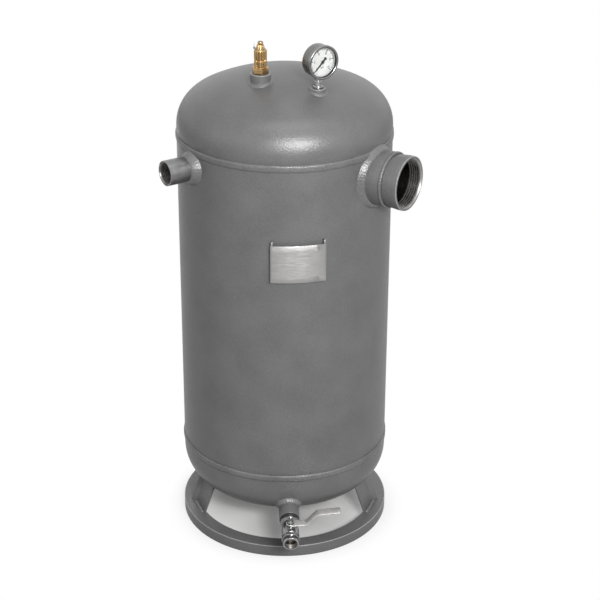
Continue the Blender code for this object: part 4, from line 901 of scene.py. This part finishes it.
# %% Bracket and plate
plate_low, plate_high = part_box("nameplate")
plate_z = (plate_low.z + plate_high.z) / 2
plate_height = plate_high.z - plate_low.z
plate_width = 102 * MM
plate_face_r = shell_r + 10.3 * MM
plate_turn = radians(6.85)


def rolled(width, height, radius, thickness, columns=28):
    """A sheet of that size, bent round the tank's axis and centred on the nameplate."""
    bm = bmesh.new()
    bmesh.ops.create_grid(bm, x_segments=columns, y_segments=6, size=0.5)
    bmesh.ops.scale(bm, verts=bm.verts, vec=(width, height, 1))
    for vert in bm.verts:
        angle = plate_turn + vert.co.x / radius
        vert.co = Vector((radius * sin(angle), -radius * cos(angle), plate_z + vert.co.y))
    return broken(thickened(bm, -BACK, thickness), 0.3 * MM, SHARP)


plate_bm = rolled(plate_width, plate_height, plate_face_r, 1 * MM)
piece("blank_nameplate", plate_bm, NAMEPLATE, ["nameplate"], where=tank)
shapes = [rolled(plate_width - 4 * MM, plate_height - 1 * MM, plate_face_r - 1.3 * MM, 1.5 * MM)]
for end in (-1, 1):
    angle = plate_turn + end * (plate_width / 2 - 2.6 * MM) / plate_face_r
    away = Vector((sin(angle), -cos(angle), 0))
    stand = place(away * (shell_r - MM) + UP * plate_z, away)
    depth = plate_face_r - 1.6 * MM - shell_r + MM
    flange = block((1.5 * MM, plate_height + 8 * MM, depth), 0.3 * MM)
    shapes.append(placed(flange, stand @ Matrix.Translation((0, 3.5 * MM, depth / 2))))
    ear = block((3.4 * MM, 9 * MM, 1.4 * MM), 0.4 * MM)
    shapes.append(placed(ear, stand @ Matrix.Translation((0, plate_height / 2 + 3.4 * MM, depth + 0.9 * MM))))
stand_piece = piece("nameplate_stand", joined(*shapes), PAINT, ["nameplate_bracket"], where=tank)
ear_low = plate_z + plate_height / 2 - 1.5 * MM
recoat(stand_piece, NAMEPLATE, tank, lambda r, z: r > plate_face_r - 1.8 * MM and z > ear_low)

# %% [markdown]
# ## Safety valve
# A pop safety valve is turned from brass bar: a hexagon for the spanner, a barrel with discharge windows, a
# tapered adjusting sleeve and a small cap on the spindle. Fluting round the barrel gives the fingers a grip and
# breaks the highlight into narrow stripes.

# %% Valve body
barrel_r = 11.75 * MM
barrel_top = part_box("safety_valve_body")[1].z - valve_seat.translation.z
cap_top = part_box("safety_valve_cap")[1].z - valve_seat.translation.z
flutes = 14


def fluted(bm, low, high, depth, count, least):
    """Presses count shallow grooves into the outside between two heights."""
    for vert in bm.verts:
        radius, angle = polar(vert.co)
        if low < vert.co.z < high and radius > least:
            spread(vert, 1 - depth / radius * max(0.0, cos(angle * count)) ** 2)
    return bm


barrel = mm([(9.2, 0)], barrel_top) + [(barrel_r - 1.2 * MM, barrel_top), (barrel_r, barrel_top - 1.6 * MM)]
barrel += mm([(0, 27), (0, 26.2), (-0.9, 25.8), (-0.9, 24.2), (0, 23.8), (0, 12)], radius=barrel_r)
barrel += mm([(10, 10), (10, -13), (5, -13), (5, 9), (9.2, 9.4)])
barrel_bm = lathe(barrel, 0.4 * MM, 240, rounding=2)
fluted(barrel_bm, 11 * MM, barrel_top - 1.8 * MM, 1.5 * MM, flutes, 9.8 * MM)
valve_body = piece(
    "relief_valve_body", barrel_bm, BRASS, ["safety_valve_body"], where=valve_seat, crease=28
)
windows = []
for k in range(6):
    turn = Matrix.Rotation(radians(60 * k + 30), 4, "Z") @ Matrix.Translation((0, 11 * MM, 17.4 * MM))
    windows.append(placed(block((3.4 * MM, 8 * MM, 6.5 * MM)), valve_seat @ turn))
cut(valve_body, *windows)
collar = tube(12.4 * MM, 9.9 * MM, 10.9 * MM, 12 * MM, steps=64)
spanner_hex = joined(hex_bar(27 * MM, 0.4 * MM, 10.8 * MM, 0.35 * MM, 12), collar)
piece("relief_valve_hexagon", spanner_hex, BRASS, where=valve_seat, crease=28)

# %% Sleeve, spindle cap and seal
sleeve_top = cap_top - 5.7 * MM
sleeve = mm([(2.6, 0), (5.6, 0), (6.6, -2)], sleeve_top)
sleeve += mm([(8.0, 1.6), (8.0, 0.4), (8.8, -0.4), (8.8, -4.9), (2.6, -4.9)], barrel_top)
sleeve_bm = lathe(sleeve, 0.4 * MM, 160, rounding=2)
fluted(sleeve_bm, barrel_top + MM, sleeve_top - MM, 1.0 * MM, 10, 5.9 * MM)
piece("adjusting_sleeve", sleeve_bm, BRASS, ["safety_valve_bonnet"], where=valve_seat, crease=28)
knob = mm([(0, 0), (3.6, -0.2), (4.8, -1.1), (5, -2.4), (5, -4.6), (3.4, -5), (0, -5)], cap_top)
knob_bm = lathe(knob, 0.5 * MM, 64, closed=False)
cap = piece("spindle_cap", knob_bm, BRASS, ["safety_valve_cap"], body="valve_lift", where=valve_seat)
recoat(cap, OILED_AND_PAINTED_SHADE, valve_seat, lambda r, z: z > cap_top - 0.9 * MM)


def as_bmesh(curve):
    """A curve or a text as the mesh that it shows."""
    holder = added(curve.name, curve)
    graph = bpy.context.evaluated_depsgraph_get()
    bm = bmesh.new()
    bm.from_mesh(holder.evaluated_get(graph).to_mesh())
    bpy.data.objects.remove(holder)
    bmesh.ops.remove_doubles(bm, verts=bm.verts, dist=TOUCHING)
    bmesh.ops.recalc_face_normals(bm, faces=bm.faces)
    return bm


def wire_loop(name, route, diameter):
    """A wire bent into a closed loop, as a curve with a round bevel."""
    curve = bpy.data.curves.new(name, "CURVE")
    curve.dimensions = "3D"
    curve.bevel_depth = diameter / 2
    curve.bevel_resolution = 3
    spline = curve.splines.new("NURBS")
    spline.points.add(len(route) - 1)
    for point, at in zip(spline.points, route):
        point.co = (*at, 1)
    spline.order_u = 3
    spline.use_cyclic_u = True
    return as_bmesh(curve)


around = [radians(18 + 324 * k / 20) for k in range(21)]
wire_z = barrel_top + 1.0 * MM
loop = [Vector((-8.6 * MM * cos(a), 8.6 * MM * sin(a), wire_z)) for a in around]
hang = [(-10.8, -1.5, 1), (-11.6, -2, 6), (-10.8, -1.2, 11), (-10.8, 1.2, 11), (-11.6, 2, 6), (-10.8, 1.5, 1)]
loop += [Vector((x * MM, y * MM, wire_z + z * MM)) for x, y, z in hang]
wire_bm = wire_loop("tamper_wire", loop, 0.8 * MM)
piece("tamper_wire", wire_bm, WIRE, ["seal_wire"], where=valve_seat)
slug = bar(2.2 * MM, -1.1 * MM, 1.1 * MM, 0.5 * MM, 32)
placed(slug, place(Vector((-10.7 * MM, 0, wire_z + 2 * MM)), BACK))
piece("tamper_slug", slug, LEAD, ["lead_seal"], where=valve_seat)

# %% [markdown]
# ## Pressure gauge
# A bottom-entry dial gauge in a stainless case. The bezel is a rolled ring with a deep inner lip, whose inner face
# and the ring behind it are black as painted shade. That and the lip's own shadow on the dial show that the dial sits
# back behind the window.

# %% Case, bezel and window
pointer_joint = joints["gauge_pointer_turn"]
dial_centre = Vector(pointer_joint["pos_m"])
facing = Vector(pointer_joint["axis"])
face = place(dial_centre, facing)
case_r = 29.5 * MM
case_outer = mm([(0, 14), (0, -7.5)], radius=case_r)
case_section = mm([(0, -6.5)]) + mm([(-1, -6.5), (-1, 14)], radius=case_r) + case_outer + mm([(0, -7.5)])
case_bm = lathe(case_section, 1.2 * MM, 160, closed=False)
case = piece("gauge_drum", case_bm, STAINLESS, ["gauge_case"], where=face)
stem_place = place(Vector((dial_centre.x, dial_centre.y, 0)), UP, facing)
stem_low = gauge_seat.translation.z
cut(case, placed(bar(7.0 * MM, stem_low, dial_centre.z - 25 * MM, steps=48), stem_place))

bezel_section = [(29.2, 19), (31, 18.4), (31, 11.5), (30, 11), (29.7, 11.5), (29.7, 17), (26.6, 17), (26.6, 17.6)]
bezel_bm = lathe(mm([*bezel_section, (27.6, 18.6)]), 0.7 * MM, 160)
rim = piece("gauge_rim", bezel_bm, BRIGHT, ["gauge_bezel"], where=face)
# The lip's inner face is black lacquer as painted shade.
recoat(rim, LACQUER_AND_PAINTED_SHADE, face, lambda r, z: r < 27.5 * MM and z < 18.2 * MM)
# A black ring between the dial and the window, where the lip's shade falls, is painted shade.
liner = tube(28.9 * MM, 26.0 * MM, 12.7 * MM, 15.1 * MM, 0.2 * MM, 128)
piece("gauge_spacer", liner, LACQUER_AND_PAINTED_SHADE, where=face)
pane = bar(29.2 * MM, 15.3 * MM, 16.8 * MM, 0.3 * MM, 96)
piece("gauge_pane", pane, GLASS, ["gauge_window"], where=face)

# %% [markdown]
# The dial is printed with a plain scale over 270 degrees. Ticks and numbers are thin solids that lie on the dial.

# %% Dial, scale and pointer
DIAL_TOP = 12.5 * MM
INK = 0.08 * MM
face_plate = tube(28 * MM, 1.6 * MM, 11.9 * MM, DIAL_TOP, 0.1 * MM, 128)
piece("gauge_face_plate", face_plate, DIAL, ["gauge_dial"], where=face)
ink = []
for k in range(51):
    if k % 10 == 0:
        reach, width = 5.4 * MM, 1.6 * MM
    else:
        reach, width = 3.6 * MM if k % 5 == 0 else 2.6 * MM, 0.7 * MM
    spin = Matrix.Rotation(radians(225 - 270 * k / 50), 4, "Z")
    at = Matrix.Translation((24.6 * MM - reach / 2, 0, DIAL_TOP + 0.04 * MM))
    ink.append(placed(block((reach, width, INK)), spin @ at))
arc = tube(24.9 * MM, 24.6 * MM, DIAL_TOP, DIAL_TOP + INK, 0.01 * MM, 128)
whole = arc.verts[:] + arc.edges[:] + arc.faces[:]
bmesh.ops.bisect_plane(arc, geom=whole, plane_co=(0, -17.5 * MM, 0), plane_no=-BACK, clear_outer=True)
ink.append(arc)


def numeral(text, size, x, y):
    """A number as a flat solid centred on x, y."""
    curve = bpy.data.curves.new("numeral", "FONT")
    curve.body = text
    curve.size = size
    curve.extrude = 0.03 * MM
    curve.align_x = "CENTER"
    curve.align_y = "CENTER"
    return placed(as_bmesh(curve), Matrix.Translation((x, y, DIAL_TOP + 0.04 * MM)))


for k in range(6):
    angle = radians(225 - 54 * k)
    ink.append(numeral(str(2 * k), 7.2 * MM, 16.4 * MM * cos(angle), 16.4 * MM * sin(angle)))
ink.append(numeral("bar", 5.8 * MM, 0, -9.5 * MM))
piece("gauge_scale", joined(*ink), PRINT, where=face, crease=20)

needle = [(20.5, 0), (19, 1.0), (3.4, 1.7), (2.6, 2.4), (0.9, 3.3), (-0.9, 3.3), (-2.6, 2.4), (-3.4, 1.7)]
needle += [(-5.6, 1.7), (-6.6, 2.6), (-8.6, 3.0), (-10.2, 1.6)]
outline = [(x * MM, y * MM) for x, y in needle] + [(x * MM, -y * MM) for x, y in reversed(needle[1:])]
hand = plate(outline, 13.3 * MM, 0.7 * MM, 0.12 * MM)
hub = bar(1.6 * MM, 13.0 * MM, 14.7 * MM, 0.3 * MM, 32)
turn_to_zero = face @ Matrix.Rotation(radians(225), 4, "Z")
piece("gauge_hand", joined(hand, hub), LACQUER_AND_PAINTED_SHADE, ["gauge_pointer"], body="pointer", where=turn_to_zero)

# %% [markdown]
# The stem screws into a turned adapter. Each has one relief groove, a dark ring between bright bands.

# %% Stem and adapter
adapter_r = 8.85 * MM
adapter = mm([(6.9, 9.2), (7.5, 9.2), (7.5, 5.2), (7.0, 4.8), (7.0, 4.2)])
adapter += mm([(0, 3.4), (0, 1.4), (-0.8, 0.4)], radius=adapter_r)
adapter += mm([(8.2, 0.3), (8.2, -10), (3, -10), (3, 1), (7.0, 1.4)])
bush = lathe(adapter, 0.45 * MM)
piece("gauge_bush", bush, TURNED, ["gauge_adapter"], where=gauge_seat)
neck = mm([(0, -14), (5.8, -14), (5.8, -26), (6.5, -27)], dial_centre.z - stem_low)
neck += mm([(6.5, 15.4), (5.4, 14.8), (5.4, 13.6), (6.5, 13.0), (6.5, 10.4), (6.7, 1.8), (0, 1.8)])
neck_bm = lathe(neck, 0.45 * MM, closed=False)
piece("gauge_neck", neck_bm, TURNED, ["gauge_stem"], where=gauge_seat)

# %% [markdown]
# ## Drain valve
# A small plated ball valve is screwed into the drain socket against a rubber ring. Its body is turned from bar with
# a hexagon on its outlet end, and a pressed, cranked lever sits across the flow while it is closed.

# %% Gasket, body and outlet
ACROSS_FLOW = Matrix.Rotation(radians(-90), 4, "X")
gasket = tube(18.9 * MM, 13.5 * MM, drain_face + 0.2 * MM, drain_face + 2.7 * MM, 0.8 * MM)
piece("drain_ring", gasket, RUBBER, ["drain_gasket"], where=drain)
body_section = mm([(16.5, 16), (16.5, -2), (16.1, -6), (14.4, -15), (14.4, -19.5), (17.8, -21), (18.0, -22.5)])
body_section += mm([(18.0, 3.6), (17.2, 2.9), (13.0, 2.9), (13.0, -13), (8.5, -13)], drain_face)
body_section += mm([(8.5, -11.5), (12.8, -11.4), (12.8, 16)])
stem_boss = lathe(mm([(0, 17), (8.5, 17), (9.6, 12), (0, 12)]), 0.8 * MM, 64, closed=False)
body_bm = joined(lathe(body_section, 0.7 * MM, 128), placed(stem_boss, ACROSS_FLOW))
piece("ball_valve_body", body_bm, CHROME, ["drain_valve_body"], where=drain, crease=28)

mouth_r = 15.2 * MM
bore_crest = 11.9 * MM
end_section = [(bore_crest + 0.5 * MM, drain_mouth)] + mm([(0, 0), (0, -4.6)], drain_mouth, mouth_r)
end_section += mm([(14.0, -6.4)], drain_mouth) + mm([(13.8, 16.3), (12.5, 16.3), (12.5, 12), (8.5, 12)])
end_section = softened(end_section + mm([(8.5, -17)], drain_mouth), 0.7 * MM, closed=False)
end_section += reversed(thread(bore_crest - 0.5 * MM, drain_mouth - 1.4 * MM, 12 * MM, 2.4 * MM, 0.9 * MM))
washer = tube(15.9 * MM, 14 * MM, 23.4 * MM, 24.2 * MM, 0.3 * MM)
hexagon = hex_bar(31 * MM, 16.4 * MM, 23.2 * MM, 0.7 * MM, 30)
end_bm = joined(turned(end_section, 128), washer, hexagon)
valve_end = piece("ball_valve_outlet", end_bm, CHROME, ["drain_valve_end"], where=drain, crease=28)
# The bore is darker oiled steel as painted shade, and the rim of the mouth lighter cut steel as a painted highlight.
recoat(valve_end, OILED_AND_PAINTED_SHADE, drain, lambda r, z: r < bore_crest + 0.6 * MM and z < drain_mouth - 0.4 * MM)
recoat(valve_end, CUT_STEEL_AND_PAINTED_HIGHLIGHT, drain, lambda r, z: z > drain_mouth - 0.5 * MM)

# %% [markdown]
# The stem, its nut and the lever turn together through a quarter turn. The lever is one strip of steel with two
# bends, drawn as its side view and then pulled out to its width with a rounded end.

# %% Stem, gland, nut and lever
valve_stem = drain @ ACROSS_FLOW
gland = tube(6.5 * MM, 3.8 * MM, 17.3 * MM, 20.5 * MM, 0.5 * MM, 64)
piece("stem_gland", gland, CHROME, ["drain_gland"], where=valve_stem)
tip = mm([(0, 30.6), (3.0, 30.6), (3.5, 29.8), (3.5, 12.8), (0, 12.8)])
tip_bm = lathe(tip, 0.4 * MM, 48, closed=False)
piece("valve_stem", tip_bm, CHROME, ["drain_stem"], body="drain_handle", where=valve_stem)
washer = tube(6.8 * MM, 3.7 * MM, 23.5 * MM, 24.2 * MM, 0.2 * MM, 48)
nut = joined(hex_bar(11 * MM, 24.2 * MM, 28.6 * MM, 0.6 * MM), washer)
piece("lever_nut", nut, CHROME, ["drain_lever_nut"], body="drain_handle", where=valve_stem, crease=28)

STRAP = 2.4 * MM
LEVER_CORNER = 3 * MM
lever_low = 20.8 * MM
crank_start, crank_end, crank_rise = 30 * MM, 49 * MM, 26 * MM
lever_end = 94 * MM
lever_half = 7.8 * MM
tip_rise = 5.5 * MM
side_view = [(-8 * MM, 0), (6 * MM, 0), (18 * MM, 0), (crank_start, 0), (crank_end, crank_rise)]
side_view += [(crank_end + t * (lever_end - crank_end), crank_rise + t * tip_rise) for t in (0.33, 0.66, 1)]
strap_line = softened(side_view, 5 * MM, closed=False, steps=5)


def strap_width(x):
    """Half width along the lever: round at both ends, a little narrower over the crank."""
    if x > lever_end - LEVER_CORNER:
        return lever_half - LEVER_CORNER + sqrt(max(LEVER_CORNER**2 - (x - lever_end + LEVER_CORNER) ** 2, 0))
    if x < 0:
        return sqrt(max((8.6 * MM) ** 2 - x * x, (2 * MM) ** 2))
    return lever_half + 0.8 * MM * max(0.0, 1 - x / (40 * MM))


line = [p for p in strap_line[:-1] if p.x < lever_end - LEVER_CORNER]
slope = tip_rise / (lever_end - crank_end)
for t in (0, 0.3, 0.6, 0.85):
    at = Vector((lever_end - LEVER_CORNER * (1 - sin(pi / 2 * t)), 0))
    line.append(Vector((at.x, crank_rise + (at.x - crank_end) * slope)))
line.append(Vector((lever_end, strap_line[-1].y)))
lever = bmesh.new()
row = [lever.verts.new((p.x, 0, p.y)) for p in line]
spine = [lever.edges.new(pair) for pair in zip(row, row[1:])]
for step in (-1, 1):
    for vert in verts_of(bmesh.ops.extrude_edge_only(lever, edges=spine)["geom"]):
        vert.co.y = step * strap_width(vert.co.x)
bmesh.ops.remove_doubles(lever, verts=lever.verts, dist=0.01 * MM)
thickened(lever, UP, STRAP)
low_edge = min(v.co.z for v in lever.verts if v.co.x < 20 * MM)
bmesh.ops.translate(lever, verts=lever.verts, vec=(0, 0, lever_low - low_edge))
broken(lever, 0.5 * MM, SHARP, segments=3)
piece("valve_lever", lever, ZINC, ["drain_lever"], body="drain_handle", where=valve_stem, crease=35)

# %% [markdown]
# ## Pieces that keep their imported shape
# What is inside the valve bodies and the gauge is already the right shape, and only takes its finish.

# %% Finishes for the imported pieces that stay
kept = {
    BRASS: ["safety_valve_disc", "safety_valve_spring_button", "safety_valve_spindle", "gauge_pinion", "gauge_sector",
            "gauge_movement_plate", "gauge_link", "gauge_bourdon_tube"],
    CHROME: ["drain_ball"],
    PTFE: ["drain_seat_inner", "drain_seat_outer", "drain_packing"],
}
for finish, names in kept.items():
    for name in names:
        mesh = frame["nodes"][name].data
        mesh.materials.clear()
        mesh.materials.append(finish)
print("kept", sum(len(names) for names in kept.values()), "packed nodes")

# %% [markdown]
# The spring stands on the seat disc, so it has to shorten when the disc lifts. It is copied into a piece of its own.

# %% Spring
coil = bmesh.new()
coil.from_mesh(frame["nodes"]["safety_valve_spring"].data)
spring = piece("valve_spring", coil, SPRING, ["safety_valve_spring"])
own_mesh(spring)

# %% [markdown]
# ## Floor, sky and lamps
# The tank stands on pale paper that turns white a little way out from the ring. In a reflection the paper is half
# as bright, and to light that bounces off it, it is a mid grey, so the underside stays dark. The sky is white to
# the camera, in reflections and through glass, but lights the tank at a plain level, so the grey of the paint
# renders as it was mixed. Lamps in front, overhead and on the left shape the dome and the cylinder, and one behind,
# which isn't seen in reflections, fills the back.

# %% Floor and world
FLOOR_RADIUS = 14
SHADE_ENDS, WHITE_STARTS = 0.12, 0.25
FLOOR_IN_GLOSS = 0.5
SKY_LIGHT = 0.16
WHITE = linear("#ffffff")


def cleared(owner):
    """The empty node tree of a material or a world."""
    owner.use_nodes = True
    owner.node_tree.nodes.clear()
    return owner.node_tree


floor_bm = bmesh.new()
bmesh.ops.create_circle(floor_bm, cap_ends=True, segments=96, radius=FLOOR_RADIUS, matrix=tank)
floor = added("floor", mesh_of("floor", floor_bm))
floor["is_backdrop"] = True

paper = bpy.data.materials.new("white_paper_sweep")
tree = cleared(paper)
seen = node(tree, "ShaderNodeLightPath").outputs
direct = reckoned(
    tree, "MAXIMUM", seen["Is Camera Ray"], reckoned(tree, "MULTIPLY", seen["Is Glossy Ray"], FLOOR_IN_GLOSS)
)
tone = blended(tree, direct, linear("#6a6a6a"), linear("#d6d6d5"))
matt = node(tree, "ShaderNodeBsdfDiffuse", Color=tone).outputs["BSDF"]
glow = node(tree, "ShaderNodeEmission", Color=WHITE, Strength=1.0).outputs["Emission"]
spot = node(tree, "ShaderNodeTexCoord").outputs["Object"]
from_axis = node(tree, "ShaderNodeVectorMath", {"operation": "DISTANCE"}, _0=spot, _1=axis_foot).outputs["Value"]
smooth = {"interpolation_type": "SMOOTHSTEP"}
fade = node(tree, "ShaderNodeMapRange", smooth, Value=from_axis, From_Min=SHADE_ENDS, From_Max=WHITE_STARTS)
white = reckoned(tree, "MULTIPLY", direct, fade.outputs["Result"])
surface = node(tree, "ShaderNodeMixShader", _0=white, _1=matt, _2=glow).outputs[0]
node(tree, "ShaderNodeOutputMaterial", Surface=surface)
floor.data.materials.append(paper)

world = bpy.data.worlds.new("white_studio")
bpy.context.scene.world = world
tree = cleared(world)
seen = node(tree, "ShaderNodeLightPath").outputs
direct = reckoned(tree, "MAXIMUM", seen["Is Camera Ray"], seen["Is Transmission Ray"])
direct = reckoned(tree, "MAXIMUM", direct, seen["Is Glossy Ray"])
strength = node(tree, "ShaderNodeMapRange", Value=direct, To_Min=SKY_LIGHT, To_Max=1.0).outputs["Result"]
sky = node(tree, "ShaderNodeBackground", Color=WHITE, Strength=strength)
node(tree, "ShaderNodeOutputWorld", Surface=sky.outputs["Background"])

# %% Lamps
AIM = Vector((0, 0, 0.5))


def lamp(name, at, size, watts):
    data = bpy.data.lights.new(name, "AREA")
    data.shape = "RECTANGLE"
    data.size, data.size_y = size
    data.energy = watts
    made = added(name, data)
    made.location = at
    made.rotation_euler = (AIM - Vector(at)).to_track_quat("-Z", "Y").to_euler()
    return made


lamp("front_box", (0.74, -2.9, 2.1), (1.9, 0.9), 74)
lamp("front_core", (0.64, -2.85, 2.05), (0.6, 0.36), 60)
lamp("overhead_box", (0.1, -0.6, 3.2), (2.0, 1.6), 17)
fill = lamp("back_box", (-0.9, 3.0, 0.9), (1.6, 1.2), 75)
fill.visible_glossy = False
lamp("left_box", (-2.4, -1.3, 1.9), (0.6, 1.2), 4)

# %% [markdown]
# ## Camera
# A long lens from above and in front, far enough away that the sides of the tank draw in only a little.

# %% Camera
CAMERA_BACK = 2.96098
CAMERA_HEIGHT = 1.86074
CAMERA_PITCH = 25.4025
LENS, SENSOR, SHIFT = 101.5, 36, 0.02557
FAR = 40
camera_data = bpy.data.cameras.new("camera")
camera_data.lens = LENS
camera_data.sensor_width = SENSOR
camera_data.shift_x = SHIFT
camera_data.clip_end = FAR
camera = added("camera", camera_data)
camera.location = axis_foot + Vector((0, -CAMERA_BACK, CAMERA_HEIGHT))
camera.rotation_euler = (radians(90 - CAMERA_PITCH), 0, 0)
bpy.context.scene.camera = camera
bpy.context.scene.view_settings.view_transform = "Standard"

visual_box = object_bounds()
for label, low, high in (("packed", *cad_box), ("finished", *visual_box)):
    print(label, [round(v / MM, 1) for v in low], [round(v / MM, 1) for v in high])
